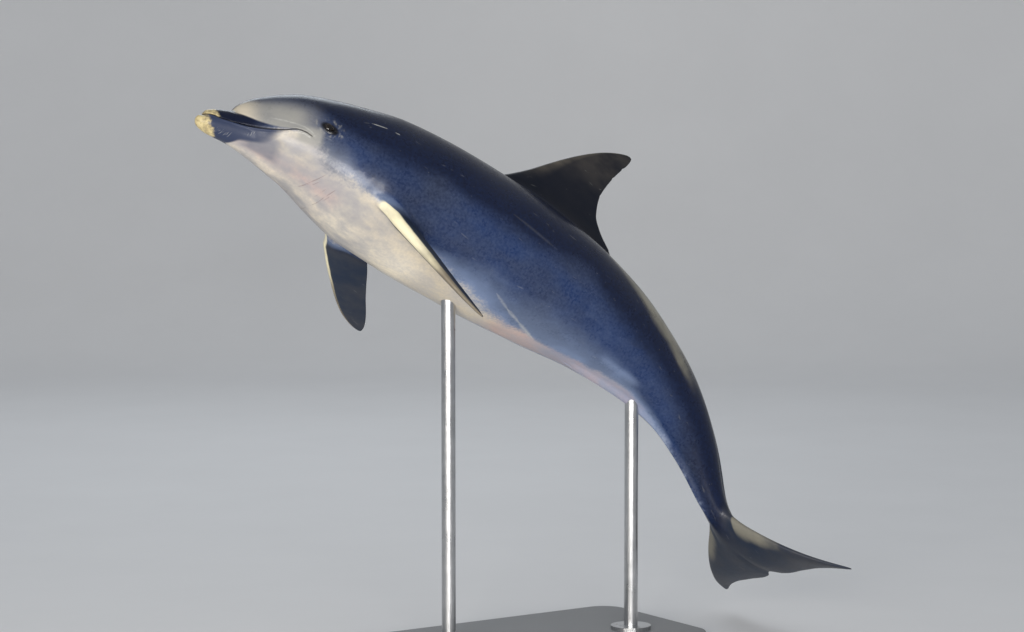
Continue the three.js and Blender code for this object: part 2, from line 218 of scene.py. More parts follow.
# Metres of a mark's second direction to a radian round the body.
WRAP_RADIUS = .16

# ---- the skin's grid ----------------------------------------------------------------------------
# How far from a seam the skin is relaxed, millimetres.
SEAM_REACH = 34
ROWS = 200
HALF = ROWS // 2
QUARTER = ROWS // 4
# Rings along the body: start, end, spacing.
RING_RUNS = [
    (0, 3, .5), (3, 14, 1), (14, 46, 1.3), (46, 334, 3.4), (334, 386, 1.25), (386, 470, 4),
    (470, 760, 6), (760, 1380, 13), (1380, 1780, 12), (1780, 2168, 12),
]
# Rows on either side of the back under the fin, and rows of the lower half that are held.
FIN_ROWS = 10
BELLY_ROWS = (0, 3, 10, 22, 35, QUARTER)
FLIPPER_ROWS = (22, 35)

# ---- studio, metres -----------------------------------------------------------------------------
# Lights: name, place, target, size, colour, spread in degrees.
LIGHTS = [
    ("key", (-6.2, -4.8, 1.9), (-.2, .1, 1.0), 3.0, (1, .95, .88), 90),
    ("fill", (-2.9, -6.2, 1.0), (0, .1, .9), 1.8, (1, .98, .96), 90),
    ("rim", (2.2, 5.2, 5.0), (0, .1, 1.2), 3.0, (.86, .93, 1), 180),
]
SKY = (.9, .94, 1.0)
SKY_STRENGTH = .42
CAMERA_TARGET = (.1486, .1999, .9851)
SENSOR_WIDTH = 36
CLIP_END = 60
# The floor's half width, how far behind the object its sweep starts, the sweep's radius, the
# height of the wall, and the way it runs back, seen from above.
FLOOR_REACH = 14
FLOOR_BEHIND = 7
FLOOR_SWEEP = 3
FLOOR_RISE = 9
FLOOR_BACK = (.5592, .829)


# ---- numbers ------------------------------------------------------------------------------------
def curve(rows, column=1):
    """Smooth monotone curve through one column of a table."""
    at = np.array([row[0] for row in rows], float)
    value = np.array([row[column] for row in rows], float)
    step = np.diff(at)
    slope = np.diff(value) / step
    tangent = np.zeros(len(at))
    tangent[0], tangent[-1] = slope[0], slope[-1]
    for i in range(1, len(at) - 1):
        if slope[i - 1] * slope[i] > 0:
            before, after = 2 * step[i] + step[i - 1], step[i] + 2 * step[i - 1]
            tangent[i] = (before + after) / (before / slope[i - 1] + after / slope[i])

    def read(x):
        x = np.asarray(x, float)
        i = np.clip(np.searchsorted(at, x, side="right") - 1, 0, len(step) - 1)
        t = np.clip((x - at[i]) / step[i], 0, 1)
        s = 1 - t
        return (
            s * s * (1 + 2 * t) * value[i] + s * s * t * step[i] * tangent[i]
            + t * t * (3 - 2 * t) * value[i + 1] - t * t * s * step[i] * tangent[i + 1]
        )

    return read


def ramp(x, low, high):
    """Smooth step from 0 at low to 1 at high."""
    t = np.clip((np.asarray(x, float) - low) / (high - low), 0, 1)
    return t * t * (3 - 2 * t)


def window(x, start, end, soft):
    """1 between start and end, falling softly to 0 outside them."""
    return ramp(x, start - soft, start) * (1 - ramp(x, end, end + soft))


def bell(x, width):
    """A smooth bump, 1 at zero."""
    return np.exp(-(np.asarray(x, float) / width) ** 2)


def form(rows):
    """Distance from the axis to one body form, by x and angle; 0 beyond its ends."""
    top, bottom, half = (curve(rows, column) for column in (1, 2, 3))

    def read(x, angle):
        up = np.sin(angle)
        height = np.where(up > 0, top(x), bottom(x))
        radius = 1 / np.hypot(np.cos(angle) / half(x), up / height)
        return np.where((x < rows[0][0]) | (x > rows[-1][0]), 0, radius)

    return read


FORMS = [form(rows) for rows in (LOWER_JAW, UPPER_JAW, MELON, TRUNK, KEEL)]
SOFTNESS = curve(BLEND)
MOUTH_Z = curve(MOUTH)


def body_radius(x, angle):
    """Distance from the axis to the skin, all the forms run softly together."""
    x, angle = np.broadcast_arrays(np.asarray(x, float), np.asarray(angle, float))
    soft = SOFTNESS(x)
    radius = np.zeros(x.shape)
    for shape in FORMS:
        other = shape(x, angle)
        near = np.maximum(soft - np.abs(radius - other), 0)
        joined = np.maximum(radius, other) + near * near / (4 * soft)
        radius = np.where(other == 0, radius, np.where(radius == 0, other, joined))
    return radius


def body_point(x, angle):
    radius = body_radius(x, angle)
    return np.stack([x + 0 * radius, radius * np.cos(angle), radius * np.sin(angle)], -1)


def height_above_body(p):
    """How far a point of the straight animal stands out of its plain forms."""
    angle = np.arctan2(p[..., 2], p[..., 1])
    return np.hypot(p[..., 1], p[..., 2]) - body_radius(p[..., 0], angle)


def make_spine():
    """Places along the spine, their run along and up the plane of the leap, and their pitch."""
    step = 5
    at = np.arange(0, SPINE_LENGTH + step, step)
    pitch = np.radians(curve(SPINE)(at))
    mid = (pitch[1:] + pitch[:-1]) / 2
    along = np.concatenate([[0], np.cumsum(step * np.cos(mid))])
    up = np.concatenate([[0], -np.cumsum(step * np.sin(mid))])
    return at, along, up, pitch


SPINE_TABLE = make_spine()


def pose(p):
    """Straight millimetres to the leaping, banked animal in the frame's metres."""
    p = np.asarray(p, float)
    at, along_at, up_at, pitch_at = SPINE_TABLE
    x, y, z = p[..., 0], p[..., 1], p[..., 2]
    inside = np.clip(x, 0, SPINE_LENGTH)
    pitch = np.interp(inside, at, pitch_at)
    over = x - inside
    along = np.interp(inside, at, along_at) + np.cos(pitch) * over + np.sin(pitch) * z
    up = np.interp(inside, at, up_at) - np.sin(pitch) * over + np.cos(pitch) * z
    cos, sin = math.cos(BANK), math.sin(BANK)
    return np.stack([
        JAW_TIP[0] + along, JAW_TIP[1] - y * cos + up * sin, JAW_TIP[2] + y * sin + up * cos,
    ], -1) / 1000


# ---- fins ---------------------------------------------------------------------------------------
def foil(c):
    """Half thickness of a streamlined section, as a share of its full thickness."""
    return 5 * (.2969 * np.sqrt(c) - .126 * c - .3516 * c * c + .2843 * c ** 3 - .1036 * c ** 4)


def section(c, q):
    """Thickness share and bluntness at chord share c, q from -1 on one face to 1 on the other."""
    return foil(c) * np.sign(q), BLUNT * np.clip(q * 2, -1, 1)


def fin_maker():
    """Points of the dorsal fin by chord share, face and height."""
    lead, trail, share = (curve(FIN, column) for column in (1, 2, 3))

    def at(c, q, u):
        thick, blunt = section(c, q)
        nick = sum(depth * bell(u - z, width) for z, depth, width in FIN_NICKS)
        back = trail(u) - nick
        x = lead(u) + (back - lead(u)) * c
        return np.stack([x, thick * FIN_THICKNESS * share(u) + blunt, u + 0 * x], -1)

    return at


def flipper_maker(side):
    """Points of one flipper by chord share, face and share of its length."""
    span, lead = (np.array(v) for v in FLIPPER_POSE[side])
    span = span / np.linalg.norm(span)
    lead = lead - span * (lead @ span)
    lead = lead / np.linalg.norm(lead)
    normal = np.cross(span, lead)
    ahead, behind, share = (curve(FLIPPER, column) for column in (1, 2, 3))

    def at(c, q, u):
        thick, blunt = section(c, q)
        forward = ahead(u) - (ahead(u) + behind(u)) * c
        above = thick * FLIPPER_THICKNESS * share(u) + blunt
        buried = np.maximum(.12 - u, 0) * FLIPPER_LENGTH
        u, forward, above, buried = np.broadcast_arrays(u, forward, above, buried)
        p = (
            np.array(FLIPPER_ROOT) + (u * FLIPPER_LENGTH)[..., None] * span
            + forward[..., None] * lead + above[..., None] * normal
        )
        return np.stack([
            p[..., 0], side * (p[..., 1] - .6 * buried), p[..., 2] + .5 * buried,
        ], -1)

    return at


def root_of(maker, c, q, low, high, height):
    """How far along its span each line of a fin comes out of the body by a height."""
    u = np.linspace(low, high, 300)
    above = height_above_body(maker(c[None, :], q[None, :], u[:, None])) - height
    first = np.maximum(np.argmax(above > 0, axis=0), 1)
    column = np.arange(len(c))
    before, after = above[first - 1, column], above[first, column]
    share = np.clip(before / (before - after), 0, 1)
    return u[first - 1] + (u[first] - u[first - 1]) * share


# ---- the skin's mesh ----------------------------------------------------------------------------
class SkinMesh:
    """Collects points of the straight animal, their marks and faces."""

    def __init__(self):
        self.points = []
        self.marks = []
        self.faces = []
        self.seams = []
        self.count = 0

    def add(self, points, kind=0, edge=1.0, blend=0.0):
        """Points with what they grow (0 body, 1 fin, 2 flipper, 3 fluke), chord share and blend."""
        points = np.asarray(points, float).reshape(-1, 3)
        marks = np.zeros((len(points), 3))
        marks[:, 0] = kind
        marks[:, 1] = np.asarray(edge, float).reshape(-1) if np.ndim(edge) else edge
        marks[:, 2] = blend
        self.points.append(points)
        self.marks.append(marks)
        self.count += len(points)
        return np.arange(self.count - len(points), self.count)

    def strip(self, a, b):
        """Faces between two closed loops of indices."""
        a2, b2 = np.roll(a, -1), np.roll(b, -1)
        self.faces.append(np.stack([a, b, b2, a2], -1))

    def fan(self, loop, tip):
        """Faces between a closed loop of indices and one point."""
        for a, b in zip(loop, np.roll(loop, -1)):
            self.faces.append(np.array([[a, tip, b, -1]]))


def ring_stations():
    """Place of every ring along the body."""
    rings = [np.array([RING_RUNS[0][0]], float)]
    for start, end, step in RING_RUNS:
        count = max(1, round((end - start) / step))
        rings.append(np.linspace(start, end, count + 1)[1:])
    return np.concatenate(rings)


def spread(t, single, double):
    """Rows packed towards both ends of a half."""
    turn = 2 * np.pi
    return t - single * np.sin(turn * t) / turn - double * np.sin(2 * turn * t) / (2 * turn)


def flipper_band():
    """Middle and half width, in degrees below the side, of the flipper root along x."""
    c = np.linspace(0, 1, 25)
    maker = flipper_maker(1)
    q = np.full(25, .0001)
    u = root_of(maker, c, q, -.3, .6, 4)
    p = maker(c, q, u)
    below = -np.degrees(np.arctan2(p[:, 2], p[:, 1]))
    wide = np.degrees((foil(c) * FLIPPER_THICKNESS + 17) / np.hypot(p[:, 1], p[:, 2]))
    order = np.argsort(p[:, 0])
    return p[order, 0], below[order], wide[order]


def row_angles(rings):
    """Angle of every row at every ring, with rows gathered where the fins grow."""
    seam = np.radians(curve(SEAM)(rings))[:, None]
    t = .5 + np.arange(QUARTER + 1)[None, :] / HALF
    up = (np.pi - 2 * seam) * (spread(t, .2, .6) - .5)
    down = (np.pi + 2 * seam) * (spread(t, .55, .25) - .5)
    top = body_radius(rings, np.pi / 2)
    bottom = body_radius(rings, -np.pi / 2)
    chord = np.clip((rings - FIN_CHORD[0]) / (FIN_CHORD[1] - FIN_CHORD[0]), 0, 1)
    start, end = FIN_RUN
    fin_half = np.interp(rings, [start - 240, start, end, end + 250], [34, 12, 12, 34])
    under_fin = (rings > start) & (rings < end)
    fin_half = np.where(under_fin, foil(chord) * FIN_THICKNESS + 15, fin_half) / top
    slit = window(rings, 1400, 1740, 90)
    band_x, band_mid, band_half = flipper_band()
    mid = np.radians(90 - np.interp(rings, band_x, band_mid))
    half = np.radians(np.interp(rings, band_x, band_half))
    reach = window(rings, 520, 740, 110)
    angles = np.zeros((len(rings), ROWS))
    for i in range(len(rings)):
        base = up[i]
        held = [0, base[FIN_ROWS], base[FIN_ROWS + 18], base[-1]]
        wanted = [0, min(fin_half[i], .8 * held[2]), held[2], held[3]]
        near_fin = window(rings[i], 800, 1600, 300)
        wanted[1] = held[1] + (wanted[1] - held[1]) * near_fin
        a = np.interp(base, held, wanted)
        base = down[i]
        held = base[list(BELLY_ROWS)]
        wanted = held.copy()
        wanted[1] += (5 / bottom[i] - held[1]) * slit[i]
        wanted[3] += (mid[i] - half[i] - held[3]) * reach[i]
        wanted[4] += (mid[i] + half[i] - held[4]) * reach[i]
        b = np.interp(base, held, wanted)
        angles[i, QUARTER:HALF + 1] = np.pi / 2 + a
        angles[i, :QUARTER + 1] = np.pi / 2 - a[::-1]
        angles[i, HALF + QUARTER:] = 1.5 * np.pi + b[:-1]
        angles[i, HALF:HALF + QUARTER + 1] = 1.5 * np.pi - b[::-1]
    return angles


def eye_lens(x, z, length=15.5, height=6.8):
    """Signed distance to the almond of the eyelids, its slope in x and z, and places along it."""
    tilt = math.radians(EYE["tilt"])
    cos, sin = math.cos(tilt), math.sin(tilt)
    p, q = x - EYE["x"], z - EYE["z"] + 1
    a, b = p * cos - q * sin, p * sin + q * cos
    arc = (length ** 2 + height ** 2) / (2 * height)
    side = np.where(b > 0, 1, -1)
    reach = np.hypot(a, b + side * (arc - height))
    grow_a, grow_b = a / reach, (b + side * (arc - height)) / reach
    return reach - arc, grow_a * cos + grow_b * sin, -grow_a * sin + grow_b * cos, a, b


def body_grid():
    """Places of the rings, and x and point of every place of the grid, drawn to the lids."""
    rings = ring_stations()
    angle = row_angles(rings)
    x = np.repeat(rings[:, None], ROWS, 1)
    p = body_point(x, angle)
    for sign in (1, -1):
        near = (np.sign(p[..., 1]) == sign) & (np.abs(x - EYE["x"]) < 24)
        away, gx, gz, _, _ = eye_lens(x, p[..., 2])
        snap = near & (np.abs(away) < .55) & (np.abs(p[..., 2] - EYE["z"]) < 14)
        x = np.where(snap, x - away * gx, x)
        turn = away * gz / np.maximum(np.abs(p[..., 1]), 1)
        angle = np.where(snap, angle - sign * turn, angle)
    return rings, x, body_point(x, angle)


def grid_normals(p):
    """Outward direction at every place of the body's grid."""
    across = np.roll(p, -1, axis=1) - np.roll(p, 1, axis=1)
    along = np.gradient(p, axis=0)
    normal = np.cross(across, along)
    size = np.linalg.norm(normal, axis=-1, keepdims=True)
    normal = normal / np.maximum(size, 1e-9)
    outward = np.sign((normal[..., 1:] * p[..., 1:]).sum(-1, keepdims=True))
    middle = np.median(outward)
    return normal * middle


def relief(x, p):
    """How far each point of the body stands out from the plain forms."""
    y, z = p[..., 1], p[..., 2]
    side = np.abs(y)
    along = np.arange(MOUTH[0][0], MOUTH[-1][0] + 1)
    lean = np.hypot(1, np.interp(x, along, np.gradient(MOUTH_Z(along))))
    from_mouth = (z - MOUTH_Z(x)) / lean
    open_here = 1 - ramp(x, MOUTH_END - 9, MOUTH_END + 1)
    out = -3.2 * bell(from_mouth, 1.15) * open_here
    out = out + .9 * bell(np.abs(from_mouth) - 4.2, 2.6) * open_here
    # The corner of the mouth ends in a small dimple and a fold that turns down.
    corner = np.hypot(x - MOUTH_END, z - MOUTH_CORNER_Z)
    out = out - 1.3 * bell(corner, 5) * (side > 60)
    fold = (z - curve(MELON_FOLD)(x)) / 1.1
    out = out - 1.5 * bell(fold, 3.2) * window(x, 116, 190, 26) * (side > 12)
    # Eyelids bulge over the eyeball and open on it.
    away, _, _, a, b = eye_lens(x, z)
    head_side = (np.abs(x - EYE["x"]) < 60) & (np.abs(z - EYE["z"]) < 50) & (side > 60)
    outside = np.maximum(away, 0)
    lids = 4.2 * bell(outside, 10) - 1.5 * bell(away - 5.6, 1.5) * (b > -3)
    lids = lids - .9 * bell(away - 9.5, 1.6) * (b < 1)
    lids = lids - .8 * bell(b, 1.3) * window(np.abs(a), 13, 21, 3)
    lids = lids * (1 - ramp(away, 26, 34))
    inward = ramp(-away, -.1, 1.2)
    out = out + np.where(head_side, lids * (1 - inward) - 13 * inward, 0)
    # Blowhole: a crescent whose horns point forward, in a shallow dish.
    bow = x - BLOWHOLE_X + (y / 17) ** 2 * 9
    on_top = (z > 80) & (side < 24)
    out = out - 4.5 * bell(bow, 1.5) * window(side, -1, 13, 4) * on_top
    out = out - 1.6 * bell(np.hypot(x - BLOWHOLE_X + 1, y), 17) * (z > 80)
    out = out + 1.1 * bell(bow - 5, 3) * window(side, -1, 14, 5) * on_top
    # Ear: a pinhole behind the eye.
    out = out - 1.2 * bell(np.hypot(x - EAR[0], z - EAR[1]), 2.6) * (side > 60)
    # Belly: navel, and the long slit of the vent.
    under = z < 0
    out = out - 2.2 * bell(np.hypot((x - NAVEL_X) / 2.2, y), 9) * under
    out = out - 3.4 * bell(y, 2.6) * window(x, *VENT, 30) * under
    out = out + 1.2 * bell(side - 8, 5) * window(x, *VENT, 40) * under
    # Slow swells of muscle and blubber.
    phi = np.arctan2(z, side)
    swell = np.sin(x / 61 + 1.7 * phi) * np.cos(2.6 * phi + x / 143)
    swell = swell + .6 * np.sin(x / 37 - 2.9 * phi + .8)
    out = out + .55 * swell * ramp(x, 330, 620) * (1 - ramp(x, 1900, 2120))
    neck = np.sin((x - .35 * z) / 8.5) * bell(x - 500, 46) * window(phi, -.9, .1, .35)
    return out + .5 * neck


def patch_loop(ring_a, ring_b, row_a, row_b):
    """Grid places round a patch: along one side, the far end, back, and the near end."""
    rings = list(range(ring_a, ring_b)) + [ring_b] * (row_b - row_a)
    rings += list(range(ring_b, ring_a, -1)) + [ring_a] * (row_b - row_a)
    rows = [row_a] * (ring_b - ring_a) + list(range(row_a, row_b))
    rows += [row_b] * (ring_b - ring_a) + list(range(row_b, row_a, -1))
    return np.array(rings), np.array(rows)


def patch_section(ring_a, ring_b, row_a, row_b, face_a, nose=.05, tail=.97):
    """Chord share and face for each place of patch_loop; face_a is the face of its first side."""
    along, across = ring_b - ring_a, row_b - row_a
    run = np.arange(along) / along
    turn = np.arange(across) / across * 2 - 1
    c = np.concatenate([
        nose + (tail - nose) * run,
        1 - (1 - tail) * np.abs(turn),
        tail - (tail - nose) * run,
        nose * turn ** 2,
    ])
    q = np.concatenate([np.ones(along), -turn, -np.ones(along), turn]) * face_a
    return c, q


def hermite(p0, t0, p1, t1, steps):
    """The points between p0 and p1 on a curve that leaves and arrives along t0 and t1."""
    for k in range(1, steps):
        t = k / steps
        yield (
            (1 + 2 * t) * (1 - t) ** 2 * p0 + t * (1 - t) ** 2 * t0
            + t * t * (3 - 2 * t) * p1 - t * t * (1 - t) * t1
        )


def unit(v):
    return v / np.maximum(np.linalg.norm(v, axis=-1, keepdims=True), 1e-9)


def grow_fin(mesh, grid, index, patch, maker, face_a, reach, height, kind, loops, end):
    """Grows a fin out of a patch of the body through a rounded fillet."""
    ring_a, ring_b, row_a, row_b = patch
    rings, rows = patch_loop(*patch)
    c, q = patch_section(*patch, face_a)
    start = grid[rings, rows % ROWS]
    in_ring = np.clip(rings, ring_a + 1, ring_b - 1)
    in_row = np.clip(rows, row_a + 1, row_b - 1)
    inward = unit(grid[in_ring, in_row % ROWS] - start)
    root = root_of(maker, c, q, *reach, height)
    span = 1e-3 * (end - root)
    first = maker(c, q, root)
    rise = unit(maker(c, q, root + span) - first)
    gap = np.linalg.norm(first - start, axis=-1, keepdims=True)
    previous = index[rings, rows % ROWS]
    steps = 8
    start_blend = .25 if kind == 2 else 1.0
    for k, points in enumerate(hermite(start, inward * gap * .9, first, rise * gap * 1.1, steps)):
        loop = mesh.add(points, kind, c, start_blend * ramp((k + 1) / steps, .1, 1))
        mesh.strip(previous, loop)
        previous = loop
        if k == steps // 2 - 1:
            mesh.seams.append(points)
    for share in 1 - (1 - np.linspace(0, 1, loops)[:-1]) ** 1.25:
        points = maker(c, q, root + (end - root) * share * .9985)
        blend = start_blend + (1 - start_blend) * ramp(share, -.01, .12)
        loop = mesh.add(points, kind, c, blend)
        mesh.strip(previous, loop)
        previous = loop
    tip = mesh.add(maker(np.array([.5]), np.array([0.0]), np.array([end])), kind, .5, 1)
    mesh.fan(previous, tip[0])


def grow_flukes(mesh, last_ring, last_index, slope):
    """Both flukes as one wing, joined to the last ring of the body."""
    chordwise, rear, spanwise, outer_steps = 36, 24, 28, 32
    inner = FLUKE_MIDDLE
    lead, trail, share = (curve(FLUKE, column) for column in (1, 2, 3))
    out = 1 - (1 - np.linspace(0, 1, outer_steps + 1)[1:]) ** 1.3
    beyond = inner + (FLUKE_END - inner) * out
    span = np.concatenate([
        -beyond[::-1], np.linspace(-inner, inner, spanwise + 1), beyond,
    ])
    y = np.abs(span)[:, None]
    split = np.interp(y, [0, inner, 150, FLUKE[-1][0]], [2336, 2336, 2400, 2541.2])
    whole = trail(y) - lead(y)
    part = np.clip((split - lead(y)) / whole, .3, .75)
    i = np.arange(chordwise + rear + 1)[None, :]
    early = part * (1 - np.cos(np.pi / 2 * np.clip(i / chordwise, 0, 1)))
    late = (1 - part) * np.clip((i - chordwise) / rear, 0, 1) ** .9
    c = np.clip(early + late, 0, 1)
    x = lead(y) + whole * c
    z = foil(c) * FLUKE_THICKNESS * share(y) + BLUNT * ramp(c, 0, .02)
    upper = np.stack([x, span[:, None] + 0 * x, z], -1)
    lower = upper * (1, 1, -1)
    rows = len(span)
    columns = chordwise + rear + 1
    points = np.concatenate([upper, lower[:, 1:]], 1)
    edge = np.concatenate([c, c[:, 1:]], 1)
    index = mesh.add(points, 3, edge, 1).reshape(rows, -1)
    place = np.concatenate([index[:, :columns], index[:, :1], index[:, columns:]], 1)
    # place[:, i] runs over the upper face from the nose; place[:, columns + i] over the lower one.
    hole = (outer_steps, outer_steps + spanwise)
    for first in (0, columns):
        for s in range(rows - 1):
            for k in range(columns - 1):
                if hole[0] <= s < hole[1] and k < chordwise:
                    continue
                a, b = place[s, first + k], place[s, first + k + 1]
                d, e = place[s + 1, first + k], place[s + 1, first + k + 1]
                mesh.faces.append(np.array([[a, b, e, d] if first == 0 else [a, d, e, b]]))
    for s in range(rows - 1):
        a, b = place[s, columns - 1], place[s + 1, columns - 1]
        d, e = place[s, 2 * columns - 1], place[s + 1, 2 * columns - 1]
        mesh.faces.append(np.array([[a, d, e, b]]))
    for s in (0, rows - 1):
        for k in range(columns - 1):
            a, b = place[s, k], place[s, k + 1]
            d, e = place[s, columns + k], place[s, columns + k + 1]
            mesh.faces.append(np.array([[a, d, e, b] if k else [a, e, b, -1]]))
    # Round the hole in the order of the body's rows: left, top, right, underneath.
    left, right = hole[1], hole[0]
    ways = [(left, k) for k in range(chordwise)]
    ways += [(left - k, chordwise) for k in range(spanwise)]
    ways += [(right, chordwise - k) for k in range(chordwise)]
    ways += [(right, columns + k) for k in range(chordwise)]
    ways += [(right + k, columns + chordwise) for k in range(spanwise)]
    ways += [(left, columns + chordwise - k) for k in range(chordwise)]
    at, column = np.array(ways).T
    loop = place[at, column]
    target = np.concatenate(mesh.points)[loop]
    # Each place of the loop leaves the body towards its neighbour further out.
    beyond_row = at + (at == left) - (at == right)
    beyond_column = column % columns
    beyond_column = beyond_column + (beyond_column == chordwise)
    face = np.where(column < columns, 1, -1)[:, None]
    neighbour = upper[beyond_row, beyond_column] * np.where([0, 0, 1], face, 1)
    leave = unit(neighbour - target)
    gap = np.linalg.norm(target - last_ring, axis=-1, keepdims=True)
    previous = last_index
    steps = 12
    for k, points in enumerate(hermite(last_ring, slope * gap, target, leave * gap * .8, steps)):
        ring = mesh.add(points, 3, .5, ramp((k + 1) / steps, 0, 1))
        mesh.strip(previous, ring)
        previous = ring
        if k % 3 == 1:
            mesh.seams.append(points)
    mesh.strip(previous, loop)


def soften(points, faces, seams, rounds=60):
    """Relaxes the skin round the seams, where fins and flukes run into the body."""
    weight = np.zeros(len(points))
    for seam in seams:
        low, high = seam.min(0) - SEAM_REACH, seam.max(0) + SEAM_REACH
        near = np.nonzero(np.all((points > low) & (points < high), axis=1))[0]
        # In parts, so that the table of gaps stays small.
        for part in np.array_split(near, 8):
            gap = np.linalg.norm(points[part, None] - seam[None], axis=-1).min(1)
            weight[part] = np.maximum(weight[part], 1 - ramp(gap, SEAM_REACH * .3, SEAM_REACH))
    closed = np.where(faces < 0, faces[:, [2]], faces)
    ends = np.concatenate([closed[:, [i, (i + 1) % 4]] for i in range(4)])
    ends = np.concatenate([ends, ends[:, ::-1]])
    ends = ends[weight[ends[:, 0]] > 0]
    moving = np.unique(ends[:, 0])
    order = np.searchsorted(moving, ends[:, 0])
    share = 1 / np.bincount(order, minlength=len(moving))
    for _ in range(rounds):
        middle = np.stack([
            np.bincount(order, points[ends[:, 1], axis], len(moving)) * share for axis in range(3)
        ], -1)
        step = .5 * weight[moving][:, None]
        points[moving] = points[moving] + (middle - points[moving]) * step
    return points


def build_skin():
    """The whole skin: points and marks of the straight animal, and its faces."""
    mesh = SkinMesh()
    rings, x, plain = body_grid()
    lift = relief(x, plain)
    grid = plain + grid_normals(plain) * lift[..., None]
    index = mesh.add(grid).reshape(len(rings), ROWS)

    def ring_at(value):
        return int(np.argmin(np.abs(rings - value)))

    fin_patch = (*map(ring_at, FIN_FOOT), QUARTER - FIN_ROWS, QUARTER + FIN_ROWS)
    low, high = FLIPPER_ROWS
    down = HALF + QUARTER
    flipper_patches = {
        1: (*map(ring_at, FLIPPER_FOOT), down + low, down + high),
        -1: (*map(ring_at, FLIPPER_FOOT), down - high, down - low),
    }
    kept = np.ones((len(rings) - 1, ROWS), bool)
    for a, b, c, d in [fin_patch, *flipper_patches.values()]:
        kept[a:b, c:d] = False
    ring, row = np.nonzero(kept)
    after = (row + 1) % ROWS
    mesh.faces.append(np.stack([
        index[ring, row], index[ring + 1, row], index[ring + 1, after], index[ring, after],
    ], -1))
    nose = mesh.add([[-.6, 0, 0]])
    mesh.fan(index[0][::-1], nose[0])
    grow_fin(
        mesh, grid, index, fin_patch, fin_maker(), face_a=1, reach=(150, 420), height=24,
        kind=1, loops=46, end=FIN[-1][0],
    )
    for side, patch in flipper_patches.items():
        face = -1 if side == 1 else 1
        grow_fin(
            mesh, grid, index, patch, flipper_maker(side), face_a=face, reach=(-.3, .7),
            height=20, kind=2, loops=36, end=1,
        )
    slope = unit(grid[-1] - grid[-2])
    grow_flukes(mesh, grid[-1], index[-1], slope)
    return mesh


def make_object(name, points, faces):
    """A smooth mesh object from points in metres and faces with -1 for a missing corner."""
    used, packed = np.unique(faces[faces >= 0], return_inverse=True)
    corners = faces.copy()
    corners[faces >= 0] = packed
    data = bpy.data.meshes.new(name)
    polygons = [tuple(int(v) for v in face if v >= 0) for face in corners]
    data.from_pydata([tuple(p) for p in points[used]], [], polygons)
    shell = bmesh.new()
    shell.from_mesh(data)
    bmesh.ops.recalc_face_normals(shell, faces=shell.faces)
    shell.to_mesh(data)
    shell.free()
    data.shade_smooth()
    thing = bpy.data.objects.new(name, data)
    bpy.context.scene.collection.objects.link(thing)
    return thing, used


def set_attribute(data, name, kind, values):
    layer = data.attributes.new(name, kind, "POINT")
    key = "vector" if kind == "FLOAT_VECTOR" else "value"
    layer.data.foreach_set(key, np.ascontiguousarray(values, np.float32).ravel())


